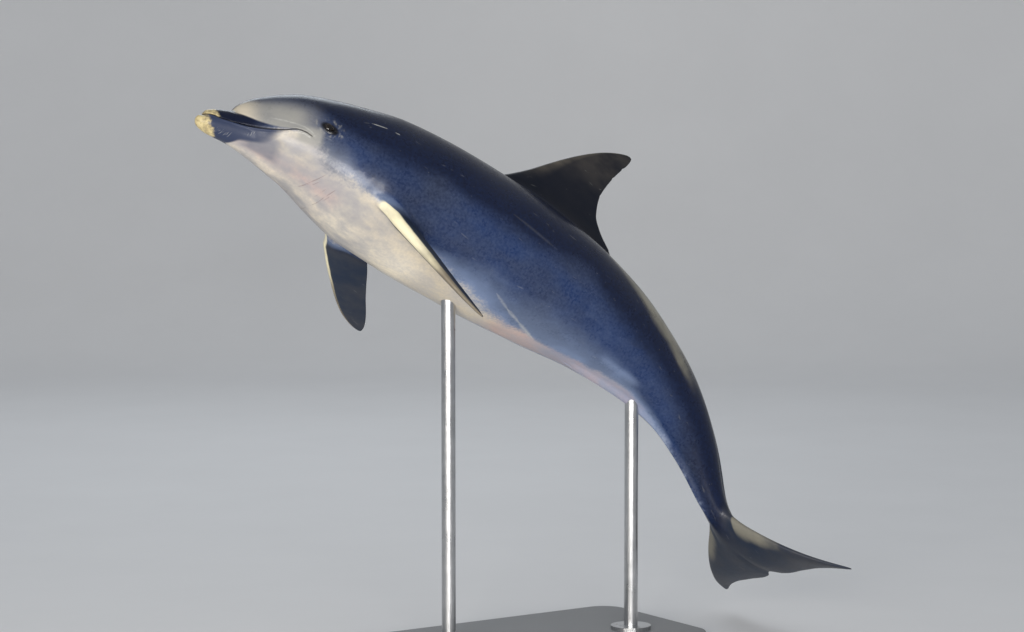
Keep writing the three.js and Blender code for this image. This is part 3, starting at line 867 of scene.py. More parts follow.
def markings(p, marks):
    """Where each marking and each painted light or shade lies, from the straight animal: one number
    a point for each.
    """
    x, y, z = p[:, 0], p[:, 1], p[:, 2]
    kind, edge, blend = marks.T
    elevation = np.degrees(np.arctan2(z, np.abs(y)))
    reach = np.radians(1) * np.hypot(y, z)
    on_body = 1 - blend
    cape = (elevation - curve(CAPE_EDGE)(x)) * reach / curve(CAPE_SOFT)(x)
    above = (elevation - curve(BELLY_EDGE)(x)) * reach
    belly = -above / curve(BELLY_SOFT)(x)
    low = 1 - ramp(above, -5, curve(LOW_BAND)(x))
    patch = window(x, 1520, 1640, 60) * window(elevation, -72, -58, 10)
    low = np.maximum(low, .7 * patch)
    # Painted shade over the flippers: the flank there runs towards the cape's dark. The flank also
    # darkens towards the tail stock.
    low = low - .5 * window(x, 540, 690, 110) * (1 - ramp(low, 0, .3)) - .8 * ramp(x, 1780, 2060)
    cape = np.clip(cape, -6, 6) * on_body + 3 * blend
    belly = np.clip(belly, -12, 8) * on_body - 6 * blend
    # Dark band along the side of the lower jaw, under the mouth line.
    mouth = z - MOUTH_Z(x)
    fold = z - curve(MELON_FOLD)(x)
    band = ramp((elevation - curve(JAW_BAND)(x)) * reach, -9, 7)
    band = band * (1 - ramp(x - elevation, 205, 262)) * ramp(x, 13, 30)
    wash = window(x, 162, 222, 40) * window(elevation, -60, -30, 14)
    below = np.maximum(-elevation, 0)
    tip = (1 - ramp(x - .34 * below, 14, 44)) * (1 - ramp(mouth, -2, 2))
    tip = tip + ramp(mouth, -2, 2) * (1 - ramp(x, 38, 74))
    away, _, _, a, b = eye_lens(x, z)
    near_eye = (np.abs(y) > 60) & (x > 300) & (x < 430)
    eye_dark = (1 - ramp(np.hypot((a - 1) / 27, (b + 1) / 15), .75, 1.2)) * near_eye
    eye_dark = np.maximum(eye_dark, bell(np.maximum(away, 0), 6) * near_eye)
    halo = bell(np.hypot((a - 1) / 37, (b - 2) / 24) - 1, .2) * near_eye * (1 - eye_dark)
    # Painted sunlight: a tan strip along the ridge of the tail stock, fading near the crest and
    # weaker on the right side.
    start = curve(KEEL_LIGHT_FROM)(x)
    keel = ramp(elevation, start - 4, start + 16) * ramp(x, 1200, 1390) * (1 - ramp(x, 1600, 1880))
    keel = keel * (1 - .8 * ramp(elevation, 60, 78)) * (.55 + .45 * ramp(y, -30, 10))
    # Painted sunlight along each flipper's leading edge, fading to brown with span.
    lead_edge = (kind == 2) * (1 - ramp(edge, .035, .13)) * ramp(blend, .02, .2)
    span = np.hypot(np.hypot(x - FLIPPER_ROOT[0], np.abs(y) - FLIPPER_ROOT[1]), z - FLIPPER_ROOT[2])
    worn = ramp(span / FLIPPER_LENGTH, .3, .68)
    # Painted sunlight on the inner leading edges of both flukes.
    fluke_edge = (kind == 3) * (1 - ramp(edge, .06, .32)) * window(np.abs(y), 40, 110, 90)
    rose = window(x, 130, 440, 60) * ramp(-elevation, 34, 66)
    rose = np.maximum(rose, window(x, 1180, 1780, 120) * ramp(-elevation, 62, 80))
    melon = ramp(x, 105, 116) * (1 - ramp(x, 262, 362))
    melon = melon * (1 - ramp(elevation, curve(MELON_FROM)(x), curve(MELON_TO)(x)))
    front = melon * (1 - ramp(x, 128, 190))
    cheek = window(x, 288, 334, 22) * window(elevation, -14, 1, 8)
    # Painted sheen on the dorsal fin: a brighter brown along its leading edge and over its upper
    # middle.
    lead = (1 - ramp(edge, .02, .24)) * ramp(z, 230, 380)
    middle = .45 * ramp(z, 300, 470) * (1 - .5 * ramp(z, 480, 525))
    sheen = (kind == 1) * np.maximum(middle, lead)
    # Painted light from below: the middle of the throat and chest made palest.
    midline = ramp(-elevation, 58, 84) * window(x, 70, 760, 110)
    return {
        "midline": midline, "cape": cape, "belly": belly, "low": low * on_body, "band": band,
        "wash": wash, "mouth": np.clip(mouth / 10, -3, 3), "melon_fold": np.clip(fold / 10, -3, 3),
        "tip": np.clip(tip, 0, 1), "melon": melon, "melon_front": front, "cheek": cheek,
        "eye_dark": eye_dark, "halo": halo, "rose": rose, "rear": ramp(x, 1160, 1420),
        "sheen": sheen, "keel": keel, "lead_edge": lead_edge, "fluke_edge": fluke_edge,
        "fin_body": blend, "navy": (kind > 1) * ramp(blend, 0, .5), "worn": worn,
    }


# ---- shader building ----------------------------------------------------------------------------
class Nodes:
    """Adds nodes to a tree and wires them; a number or colour given for an input is set on it."""

    def __init__(self, tree):
        self.tree = tree

    def put(self, target, value):
        """Wires a socket to an input, or sets the input to a fixed value."""
        if isinstance(value, bpy.types.NodeSocket):
            self.tree.links.new(value, target)
        elif value is not None:
            target.default_value = value

    def add(self, kind, *inputs, out=0, sockets=None, **settings):
        made = self.tree.nodes.new("ShaderNode" + kind)
        for key, value in settings.items():
            setattr(made, key, value)
        for target, value in zip(made.inputs, inputs):
            self.put(target, value)
        for key, value in (sockets or {}).items():
            self.put(made.inputs[key], value)
        return made.outputs[out]

    def math(self, operation, a, b=None, c=None, clamp=False):
        return self.add("Math", a, b, c, operation=operation, use_clamp=clamp)

    def times(self, first, *others, clamp=False):
        """The product of all the values given."""
        for other in others:
            first = self.math("MULTIPLY", first, other, clamp=clamp)
        return first

    def times_add(self, a, b, c, clamp=False):
        """a times b, plus c."""
        return self.math("MULTIPLY_ADD", a, b, c, clamp)

    def length(self, a, b):
        """Length of a step that goes a one way and b across it."""
        return self.math("SQRT", self.math("ADD", self.times(a, a), self.times(b, b)))

    def mix(self, factor, a, b):
        """Colour a, run towards b by a factor; a fixed colour is given as red, green, blue."""
        made = self.tree.nodes.new("ShaderNodeMix")
        made.data_type = "RGBA"
        self.put(made.inputs[0], factor)
        for target, value in ((6, a), (7, b)):
            fixed = not isinstance(value, bpy.types.NodeSocket)
            self.put(made.inputs[target], (*value, 1.0) if fixed else value)
        return made.outputs[2]

    def steps(self, value, low, high, to_low=0.0, to_high=1.0):
        """Runs smoothly from one value to another between low and high."""
        return self.add(
            "MapRange", value, low, high, to_low, to_high,
            interpolation_type="SMOOTHSTEP", clamp=True,
        )

    def group(self, tree, out=0, **inputs):
        made = self.tree.nodes.new("ShaderNodeGroup")
        made.node_tree = tree
        for key, value in inputs.items():
            self.put(made.inputs[key.replace("_", " ")], value)
        return made.outputs[out]

    def attribute(self, name, vector=False):
        made = self.tree.nodes.new("ShaderNodeAttribute")
        made.attribute_name = name
        return made.outputs["Vector" if vector else "Fac"]


def new_group(name, inputs, outputs):
    """An empty shader group with named sockets; returns its builder, inputs and outputs."""
    tree = bpy.data.node_groups.new(name, "ShaderNodeTree")
    for label, kind, default in inputs:
        socket = tree.interface.new_socket(label, in_out="INPUT", socket_type="NodeSocket" + kind)
        if default is not None:
            socket.default_value = default
    for label, kind in outputs:
        tree.interface.new_socket(label, in_out="OUTPUT", socket_type="NodeSocket" + kind)
    given = tree.nodes.new("NodeGroupInput")
    result = tree.nodes.new("NodeGroupOutput")
    return tree, Nodes(tree), given.outputs, result.inputs


def mottle_group():
    """Cloudy noise about zero, for uneven pigment, film and paint."""
    tree, n, given, result = new_group(
        "Mottle", [("Vector", "Vector", None), ("Scale", "Float", 10.0), ("Detail", "Float", 4.0),
                   ("Stretch", "Vector", (1, 1, 1))], [("Value", "Float")],
    )
    where = n.add("VectorMath", given["Vector"], given["Stretch"], operation="MULTIPLY")
    cloud = n.add("TexNoise", sockets={
        "Vector": where, "Scale": given["Scale"], "Detail": given["Detail"], "Roughness": .6,
    })
    n.put(result["Value"], n.math("SUBTRACT", cloud, .5))
    return tree


def border_group():
    """A soft border at zero of a signed distance, broken up by mottling."""
    tree, n, given, result = new_group(
        "Ragged Border", [("Distance", "Float", 0.0), ("Mottle", "Float", 0.0),
                          ("Raggedness", "Float", 1.0), ("Softness", "Float", 1.0)],
        [("Mask", "Float")],
    )
    moved = n.times_add(given["Mottle"], given["Raggedness"], given["Distance"])
    low = n.times(given["Softness"], -1.0)
    made = n.add(
        "MapRange", moved, low, given["Softness"], 0.0, 1.0,
        interpolation_type="SMOOTHSTEP", clamp=True,
    )
    n.put(result["Mask"], made)
    return tree


def line_group():
    """A thin mark between two places given as x in metres and degrees above the side."""
    tree, n, given, result = new_group(
        "Line Mark", [("Place", "Vector", None), ("Start", "Vector", (0, 0, 0)),
                      ("End", "Vector", (1, 0, 0)), ("Width", "Float", .002),
                      ("Waver", "Float", 0.0)], [("Mask", "Float")],
    )
    run = n.add("VectorMath", given["End"], given["Start"], operation="SUBTRACT")
    away = n.add("VectorMath", given["Place"], given["Start"], operation="SUBTRACT")
    dot = n.add("VectorMath", away, run, operation="DOT_PRODUCT", out="Value")
    length = n.add("VectorMath", run, run, operation="DOT_PRODUCT", out="Value")
    share = n.math("DIVIDE", dot, length, clamp=True)
    nearest = n.add("VectorMath", run, operation="SCALE", sockets={"Scale": share})
    gap = n.add("VectorMath", away, nearest, operation="SUBTRACT")
    distance = n.add("VectorMath", gap, operation="LENGTH", out="Value")
    distance = n.math("ADD", distance, n.math("ABSOLUTE", given["Waver"]))
    # The mark thins towards both of its ends.
    from_middle = n.math("ABSOLUTE", n.math("SUBTRACT", n.times(share, 2.0), 1.0))
    thin = n.times(n.math("SUBTRACT", 1.0, from_middle), 2.0, clamp=True)
    width = n.times(given["Width"], n.times_add(thin, .7, .3))
    n.put(result["Mask"], n.add("MapRange", distance, width, 0.0, 0.0, 1.0,
                                interpolation_type="SMOOTHSTEP", clamp=True))
    return tree


def scratch_group():
    """Fine long marks that run mostly one way, as old scratches or brushed grain do."""
    tree, n, given, result = new_group(
        "Fine Scratches", [("Vector", "Vector", None), ("Stretch", "Vector", (1, 12, 12)),
                           ("Scale", "Float", 30.0), ("Amount", "Float", .1),
                           ("Bend", "Float", .06)], [("Mask", "Float")],
    )
    bend = n.add("TexNoise", out="Color", sockets={
        "Vector": given["Vector"], "Scale": 7.0, "Detail": 1.0,
    })
    bent = n.add("VectorMath", bend, operation="SCALE", sockets={"Scale": given["Bend"]})
    moved = n.add("VectorMath", given["Vector"], bent, operation="ADD")
    where = n.add("VectorMath", moved, given["Stretch"], operation="MULTIPLY")
    lines = n.add("TexNoise", sockets={
        "Vector": where, "Scale": given["Scale"], "Detail": 2.0, "Roughness": .55,
    })
    edge = n.math("SUBTRACT", .72, given["Amount"])
    n.put(result["Mask"], n.add("MapRange", lines, edge, n.math("ADD", edge, .07), 0.0, 1.0,
                                interpolation_type="SMOOTHSTEP", clamp=True))
    return tree


def effect(name):
    """One of the shared shader groups, made the first time it is wanted."""
    makers = {
        "Mottle": mottle_group, "Ragged Border": border_group, "Line Mark": line_group,
        "Fine Scratches": scratch_group,
    }
    return bpy.data.node_groups.get(name) or makers[name]()


def new_material(name):
    """A material, the builder of its nodes, and the inputs of its shader."""
    material = bpy.data.materials.new(name)
    material.use_nodes = True
    tree = material.node_tree
    shader = next(node for node in tree.nodes if node.type == "BSDF_PRINCIPLED")
    return material, Nodes(tree), shader.inputs


def skin_material(look):
    """Wet dolphin skin: dark cape, slate flank, cream belly, and the marks of the face."""
    material, n, shader = new_material("dolphin_skin")
    place = n.attribute("straight", vector=True)
    wrap = n.attribute("wrap", vector=True)
    mark = {name: n.attribute(name) for name in (
        "cape", "belly", "low", "band", "wash", "mouth", "melon_fold", "tip", "melon",
        "melon_front", "cheek", "eye_dark", "halo", "rose", "rear", "sheen", "keel", "lead_edge",
        "fluke_edge", "fin_body", "navy", "worn", "midline",
    )}
    split = n.tree.nodes.new("ShaderNodeSeparateXYZ")
    n.put(split.inputs[0], place)
    along, across = split.outputs[0], split.outputs[1]
    mottle, border = effect("Mottle"), effect("Ragged Border")
    broad = n.group(mottle, Vector=place, Scale=7.0, Detail=3.0, Stretch=(.55, 1, 1))
    medium = n.group(mottle, Vector=place, Scale=24.0, Detail=2.5, Stretch=(.6, 1, 1))
    fine = n.group(mottle, Vector=place, Scale=120.0, Detail=4.0)
    both = n.times_add(medium, .55, broad)

    def ragged(name, cloud, raggedness, softness):
        """One of the marks from 0 to 1, with its border broken up by a cloud."""
        distance = n.times_add(mark[name], 2.0, -1.0)
        mask = n.group(
            border, Distance=distance, Mottle=cloud, Raggedness=raggedness, Softness=softness,
        )
        return n.times(mask, n.steps(mark[name], 0.0, .3))

    cape = n.group(border, Distance=mark["cape"], Mottle=both, Raggedness=2.2, Softness=1.1)
    frayed = n.times_add(fine, .7, both)
    belly = n.group(border, Distance=mark["belly"], Mottle=frayed, Raggedness=2.6, Softness=1.0)
    head = n.steps(along, .62, .4)
    low = n.times_add(both, n.times_add(head, .5, .25), mark["low"])
    smoky = n.mix(n.times(head, .8), look.low_flank, look.haze)
    flank = n.mix(n.add("MapRange", low, .02, 1.0, 0.0, 1.0, clamp=True), look.flank, smoky)
    flank = n.mix(n.add("MapRange", low, -.05, -1.0, 0.0, 1.0, clamp=True), flank, look.cape)
    flank = n.mix(n.steps(medium, -.1, .25, 0, .05), flank, look.low_flank)
    flank = n.mix(n.steps(broad, .18, -.18, 0, .4), flank, look.smoke)
    flank = n.mix(n.steps(fine, -.2, .2, 0, .1), flank, look.low_flank)
    back = n.mix(n.steps(fine, -.2, .2, 0, .25), look.cape, look.flank)
    colour = n.mix(cape, flank, back)
    flush = n.times(mark["rose"], n.steps(both, -.3, .25, .35, .9))
    under = n.mix(flush, look.belly, look.rose)
    # Painted light from below on the middle of the throat and chest.
    under = n.mix(n.times(mark["midline"], .85), under, look.midline)
    under = n.mix(n.steps(medium, -.2, .22, .25, 0), under, look.low_flank)
    under = n.mix(n.steps(fine, -.2, .2, .22, 0), under, look.wash)
    # Painted shade: the throat and chest forward of 0.58 to 0.76 m are greyed in clouds, joined by
    # the lilac wash under the jaw.
    grey = n.times(n.steps(along, .76, .58), n.steps(both, -.3, .28, .85, .16))
    under = n.mix(n.math("MAXIMUM", grey, n.times(mark["wash"], .8)), under, look.wash)
    under = n.mix(n.times(mark["wash"], n.steps(both, -.3, .3, .5, .2)), under, look.jaw)
    rear = n.times(mark["rear"], n.steps(both, -.3, .3, .7, .35))
    under = n.mix(rear, under, look.low_flank)
    under = n.mix(n.steps(along, 1.6, 1.8, 0, .7), under, look.low_flank)
    colour = n.mix(belly, colour, under)
    above_fold = n.steps(mark["melon_fold"], -.35, .4)
    forehead = n.times(mark["melon"], n.steps(both, -.4, .25, .7, 1), above_fold)
    colour = n.mix(forehead, colour, look.forehead)
    front = n.times(mark["melon_front"], .75, above_fold)
    colour = n.mix(front, colour, look.belly)
    cheek = n.times(mark["cheek"], n.steps(both, -.4, .3, .6, 1))
    colour = n.mix(cheek, colour, look.forehead)
    under_mouth = n.steps(mark["mouth"], .15, -.15)
    jaw = n.times(ragged("band", both, 1.3, 1.0), under_mouth)
    colour = n.mix(jaw, colour, look.jaw)
    reach = n.times(above_fold, n.steps(along, .1, .116))
    snout = n.times(
        n.steps(along, .034, .062), n.steps(along, .215, .145),
        n.steps(mark["mouth"], -.15, .15), n.math("SUBTRACT", 1.0, reach),
    )
    colour = n.mix(snout, colour, look.cape)
    spots = n.group(mottle, Vector=place, Scale=62.0, Detail=3.0)
    tip = ragged("tip", spots, 3.2, .8)
    ivory = n.mix(n.steps(spots, -.2, .08, .1, 1), look.tip_dark, look.tip)
    colour = n.mix(tip, colour, ivory)
    # Painted sunlight along the ridge of the tail stock, in tan.
    ridge = n.times(ragged("keel", both, 2.6, 1.6), n.steps(both, -.3, .3, .65, 1))
    colour = n.mix(ridge, colour, look.keel)
    # Painted sheen on the dorsal fin, in brown; the flippers and flukes get the same brown as
    # mottling.
    painted_sheen = n.times(n.times_add(mark["sheen"], .95, .05), n.steps(both, -.3, .25))
    fin_tone = n.mix(painted_sheen, look.fin, look.brown_and_sheen)
    navy = n.mix(n.steps(both, -.3, .3, 0, .35), look.flipper, look.brown_and_sheen)
    fin_tone = n.mix(mark["navy"], fin_tone, navy)
    colour = n.mix(mark["fin_body"], colour, fin_tone)
    # Painted sunlight on the flippers' leading edges: cream near the root, brown further out,
    # broken up by mottling.
    edge = ragged("lead_edge", medium, 1.3, .7)
    cream = n.mix(n.steps(both, -.05, .3, 0, .2), look.edge, look.low_flank)
    worn = n.times_add(medium, .8, mark["worn"], clamp=True)
    cream = n.mix(worn, cream, look.worn)
    colour = n.mix(n.times(edge, .92), colour, cream)
    # Painted sunlight on the flukes' inner leading edges, in the tan of the ridge's light.
    fluke_light = n.times(ragged("fluke_edge", both, 2.4, 1.2), .6)
    colour = n.mix(fluke_light, colour, look.keel)
    ticks = n.group(mottle, Vector=wrap, Scale=95.0, Detail=3.0, Stretch=(1, .45, 1))
    halo = n.times(mark["halo"], n.steps(ticks, -.02, .16, 0, .6))
    colour = n.mix(halo, colour, look.forehead)
    groove = n.times(
        n.steps(n.math("ABSOLUTE", mark["mouth"]), .26, .06),
        n.times(n.steps(along, .32, .312), n.steps(along, .014, .02)),
    )
    dark = n.math("MAXIMUM", mark["eye_dark"], n.times(groove, .85))
    colour = n.mix(dark, colour, look.fold)
    # Old scratches, scars and pale flecks.
    scratches = n.group(
        effect("Fine Scratches"), Vector=place, Stretch=(1, 9, 9), Scale=11.0, Amount=.03,
    )
    flecks = n.add("TexVoronoi", out="Distance", sockets={"Vector": place, "Scale": 62.0})
    flecks = n.times(n.steps(flecks, .16, .05), n.steps(medium, .02, .2))
    pale = n.math("MAXIMUM", n.times(scratches, .1), n.times(flecks, .12))
    left = n.steps(across, 0.0, .01)
    line = effect("Line Mark")
    waver = n.times_add(fine, .003, n.times(medium, .005))

    def mark_line(start, end, width):
        """Mask of one thin mark of the tables."""
        ends = [(x, math.radians(degrees) * WRAP_RADIUS, 0) for x, degrees in (start, end)]
        return n.group(line, Place=wrap, Start=ends[0], End=ends[1], Width=width, Waver=waver)

    for start, end, width, strength in SCARS:
        one = n.times(mark_line(start, end, width), left, strength)
        pale = n.math("MAXIMUM", pale, one)
    for start, end, width, strength in STREAKS:
        one = n.times(mark_line(start, end, width), strength)
        pale = n.math("MAXIMUM", pale, one)
    broken = n.steps(n.times_add(fine, .5, medium), -.25, .1, .35, 1)
    pale = n.times(pale, broken)
    colour = n.mix(pale, colour, look.scar)
    folds = 0.0
    for start, end, width in FOLDS:
        folds = n.math("MAXIMUM", mark_line(start, end, width), folds)
    # Painted shade in the throat's creases, in dusky rose.
    colour = n.mix(n.times(folds, .5), colour, look.crease_shade)
    n.put(shader["Base Color"], colour)
    wet = n.times_add(medium, .22, n.times_add(belly, .1, .3))
    wet = n.times_add(mark["fin_body"], .12, wet)
    n.put(shader["Roughness"], n.times_add(fine, .12, wet, clamp=True))
    # A wet film in patches, thinner on the fins.
    film = n.times(n.steps(broad, -.3, .3, .05, .2), n.times_add(mark["fin_body"], -.8, 1.0))
    n.put(shader["Coat Weight"], film)
    shader["Coat Roughness"].default_value = .12
    shader["Specular IOR Level"].default_value = .18
    height = n.times(fine, .0006)
    for texture, depth in ((medium, .0008), (folds, -.0022), (scratches, -.0002)):
        height = n.times_add(texture, depth, height)
    bump = n.add("Bump", sockets={"Strength": .4, "Distance": 1.0, "Height": height})
    n.put(shader["Normal"], bump)
    return material


def eye_material(look):
    """Dark brown wet eye with a wide pupil."""
    material, n, shader = new_material("dolphin_eye")
    gaze = n.attribute("gaze", vector=True)
    parts = n.tree.nodes.new("ShaderNodeSeparateXYZ")
    n.put(parts.inputs[0], gaze)
    along, across = parts.outputs[0], parts.outputs[1]
    # The pupil is wide, low and bent; both are measured from the middle of the gaze.
    bent = n.math("ADD", across, n.times(along, along, .8))
    pupil = n.length(n.math("DIVIDE", along, .36), n.math("DIVIDE", bent, .17))
    radius = n.length(along, across)
    mottle = n.group(effect("Mottle"), Vector=gaze, Scale=9.0, Detail=5.0)
    iris = n.mix(n.steps(mottle, -.2, .2), look.iris, look.iris_light)
    white = n.mix(n.steps(mottle, -.2, .2), (.012, .009, .008), (.03, .024, .022))
    colour = n.mix(n.steps(n.times_add(mottle, .1, radius), .6, .72), iris, white)
    colour = n.mix(n.steps(pupil, 1.1, .9), colour, (.004, .004, .005))
    n.put(shader["Base Color"], colour)
    n.put(shader["Roughness"], n.steps(mottle, -.3, .3, .05, .12))
    shader["Coat Weight"].default_value = .2
    shader["Coat Roughness"].default_value = .03
    shader["Specular IOR Level"].default_value = .3
    height = n.times(mottle, .3)
    bump = n.add("Bump", sockets={"Strength": .2, "Distance": .001, "Height": height})
    n.put(shader["Normal"], bump)
    return material


def metal_material(name, colour, dark, steel):
    """Painted or brushed metal with fine grain and slight unevenness."""
    material, n, shader = new_material(name)
    place = n.add("NewGeometry", out="Position")
    mottle = n.group(effect("Mottle"), Vector=place, Scale=18.0 if steel else 9.0, Detail=6.0)
    grain = n.group(
        effect("Fine Scratches"), Vector=place, Stretch=(1, 1, .04) if steel else (1, 1, 1),
        Scale=420.0 if steel else 260.0, Amount=.16 if steel else .05, Bend=.002 if steel else .06,
    )
    tone = n.mix(n.steps(mottle, -.3, .3), dark, colour)
    bright = [min(1, 1.4 * v) for v in colour]
    tone = n.mix(n.times(grain, .3 if steel else .12), tone, bright)
    n.put(shader["Base Color"], tone)
    rough = n.times_add(mottle, .2, .3 if steel else .45)
    n.put(shader["Roughness"], n.times_add(grain, .12, rough))
    shader["Metallic"].default_value = 1.0 if steel else 0.0
    height = n.times_add(mottle, .05, grain)
    bump = n.add("Bump", sockets={"Strength": .06, "Distance": .0002, "Height": height})
    n.put(shader["Normal"], bump)
    return material


def floor_material(colour):
    """Matt pale floor with a faint unevenness."""
    material, n, shader = new_material("studio_floor")
    place = n.add("NewGeometry", out="Position")
    mottle = n.group(effect("Mottle"), Vector=place, Scale=1.6, Detail=4.0)
    tone = n.mix(n.steps(mottle, -.3, .3), [.97 * v for v in colour], colour)
    n.put(shader["Base Color"], tone)
    n.put(shader["Roughness"], n.times_add(mottle, .1, .7))
    return material


# ---- settings -----------------------------------------------------------------------------------
def colour_setting(name, description, default):
    """A colour that can be changed in the panel."""
    return FloatVectorProperty(
        name=name, description=description, default=default, subtype="COLOR", size=3, min=0, max=1,
    )


class SkinSettings(PropertyGroup):
    # The blue of the cape, flank, low flank, jaw and flipper colours is partly painted reflection
    # of a blue sky on grey skin.
    cape: colour_setting("Cape", "Dark back", (.004, .007, .023))
    flank: colour_setting("Flank", "Slate side", (.01, .026, .09))
    low_flank: colour_setting("Low flank", "Lighter slate above the belly", (.19, .25, .39))
    belly: colour_setting("Belly", "Cream throat and belly", (.62, .545, .42))
    haze: colour_setting("Haze", "Grey between the dark neck and the cream throat", (.13, .14, .17))
    # Palest cream of the painted light from below on the throat and chest.
    midline: colour_setting("Underside light", "Palest cream of the throat's middle", (.88, .79, .62))
    rose: colour_setting("Rose", "Warm flush of the throat and vent", (.5, .34, .32))
    forehead: colour_setting("Forehead", "Light grey side of the melon", (.3, .295, .275))
    jaw: colour_setting("Jaw", "Blue grey band along the lower jaw", (.032, .043, .085))
    tip: colour_setting("Tip", "Cream tip of the beak", (.6, .5, .27))
    tip_dark: colour_setting("Tip dark", "Tan blotches on the beak's tip", (.3, .24, .13))
    # Cream and brown of the painted sunlight along the flippers' leading edges.
    edge: colour_setting("Edge", "Cream leading edges of the flippers", (.88, .81, .56))
    worn: colour_setting("Edge light fade", "Brown of the outer flipper edges", (.2, .17, .125))
    # Tan of the painted sunlight on the tail stock's ridge and on the flukes' inner leading edges.
    keel: colour_setting("Keel", "Tan ridge of the tail stock", (.3, .28, .215))
    fin: colour_setting("Fin", "Near black of the dorsal fin", (.002, .004, .011))
    # Navy: the flippers' dark grey with painted blue reflection of the sky.
    flipper: colour_setting("Flipper", "Navy of the flippers and flukes", (.012, .022, .045))
    # Brown of the painted sheen on the dorsal fin, also mottled into the flippers and flukes.
    brown_and_sheen: colour_setting("Fin brown", "Brownish bloom on the fins", (.1, .088, .072))
    fold: colour_setting("Fold", "Dark of the mouth line and lids", (.006, .006, .008))
    # Dusky rose of the painted shade in the throat's creases.
    crease_shade: colour_setting("Crease", "Dusky rose of the throat's creases", (.16, .11, .12))
    wash: colour_setting("Wash", "Grey lilac over the throat", (.26, .26, .285))
    # Grey lilac of the wash under the jaw and of mottling, also the colour of painted shade over
    # the throat and chest.
    smoke: colour_setting("Smoke", "Warm grey clouds in the flank", (.034, .036, .042))
    scar: colour_setting("Scar", "Pale scars and flecks", (.5, .5, .47))


class EyeSettings(PropertyGroup):
    iris: colour_setting("Iris", "Dark brown of the iris", (.004, .003, .0025))
    iris_light: colour_setting("Iris flecks", "Lighter brown in the iris", (.012, .007, .004))
    bulge: FloatProperty(
        name="Cornea", description="How far the cornea stands out", default=.0008, unit="LENGTH",
    )


class StandSettings(PropertyGroup):
    paint: colour_setting("Paint", "Painted base", (.2, .205, .21))
    steel: colour_setting("Steel", "Rods and flanges", (.56, .565, .57))


class StageSettings(PropertyGroup):
    floor: colour_setting("Floor", "Pale floor and backdrop", (.8, .8, .8))
    azimuth: FloatProperty(
        name="Azimuth", description="Camera's turn about the object", subtype="ANGLE",
        default=math.radians(-34),
    )
    elevation: FloatProperty(
        name="Elevation", description="Camera's height above level", subtype="ANGLE",
        default=math.radians(5.5),
    )
    distance: FloatProperty(
        name="Distance", description="Camera to its target", default=10, unit="LENGTH",
    )
    lens: FloatProperty(name="Lens", description="Focal length", default=114.97, unit="CAMERA")
    key: FloatProperty(name="Key", description="Power of the main light", default=92, unit="POWER")
    fill: FloatProperty(name="Fill", description="Power of the low light", default=52, unit="POWER")
    rim: FloatProperty(name="Rim", description="Power of the back light", default=70, unit="POWER")


class DolphinSettings(PropertyGroup):
    skin: PointerProperty(name="Skin", description="Colours of the skin", type=SkinSettings)
    eyes: PointerProperty(name="Eyes", description="Look of the eyes", type=EyeSettings)
    stand: PointerProperty(name="Stand", description="Finish of the stand", type=StandSettings)
    stage: PointerProperty(name="Stage", description="Camera and lights", type=StageSettings)


# ---- operators ----------------------------------------------------------------------------------
FLESH = [
    "head", "lower_jaw", "chest", "loin", "tail_stock", "dorsal_fin", "flipper_left",
    "flipper_right", "fluke_left", "fluke_right",
]


class DOLPHIN_OT_skin(Operator):
    """Builds the one skin over the body, fins and flukes"""

    bl_idname = "dolphin.skin"
    bl_label = "Skin"

    def execute(self, context):
        mesh = build_skin()
        marks = np.concatenate(mesh.marks)
        faces = np.concatenate(mesh.faces)
        straight = soften(np.concatenate(mesh.points), faces, mesh.seams)
        skin, used = make_object("dolphin_skin", pose(straight), faces)
        here, marked = straight[used], marks[used]
        set_attribute(skin.data, "straight", "FLOAT_VECTOR", here / 1000)
        elevation = np.arctan2(here[:, 2], np.abs(here[:, 1]))
        wrap = np.stack([here[:, 0] / 1000, elevation * WRAP_RADIUS, 0 * elevation], -1)
        set_attribute(skin.data, "wrap", "FLOAT_VECTOR", wrap)
        for name, values in markings(here, marked).items():
            set_attribute(skin.data, name, "FLOAT", values)
        skin.data.materials.append(skin_material(context.scene.dolphin.skin))
        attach(skin, "root")
        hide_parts(*FLESH)
        return {"FINISHED"}


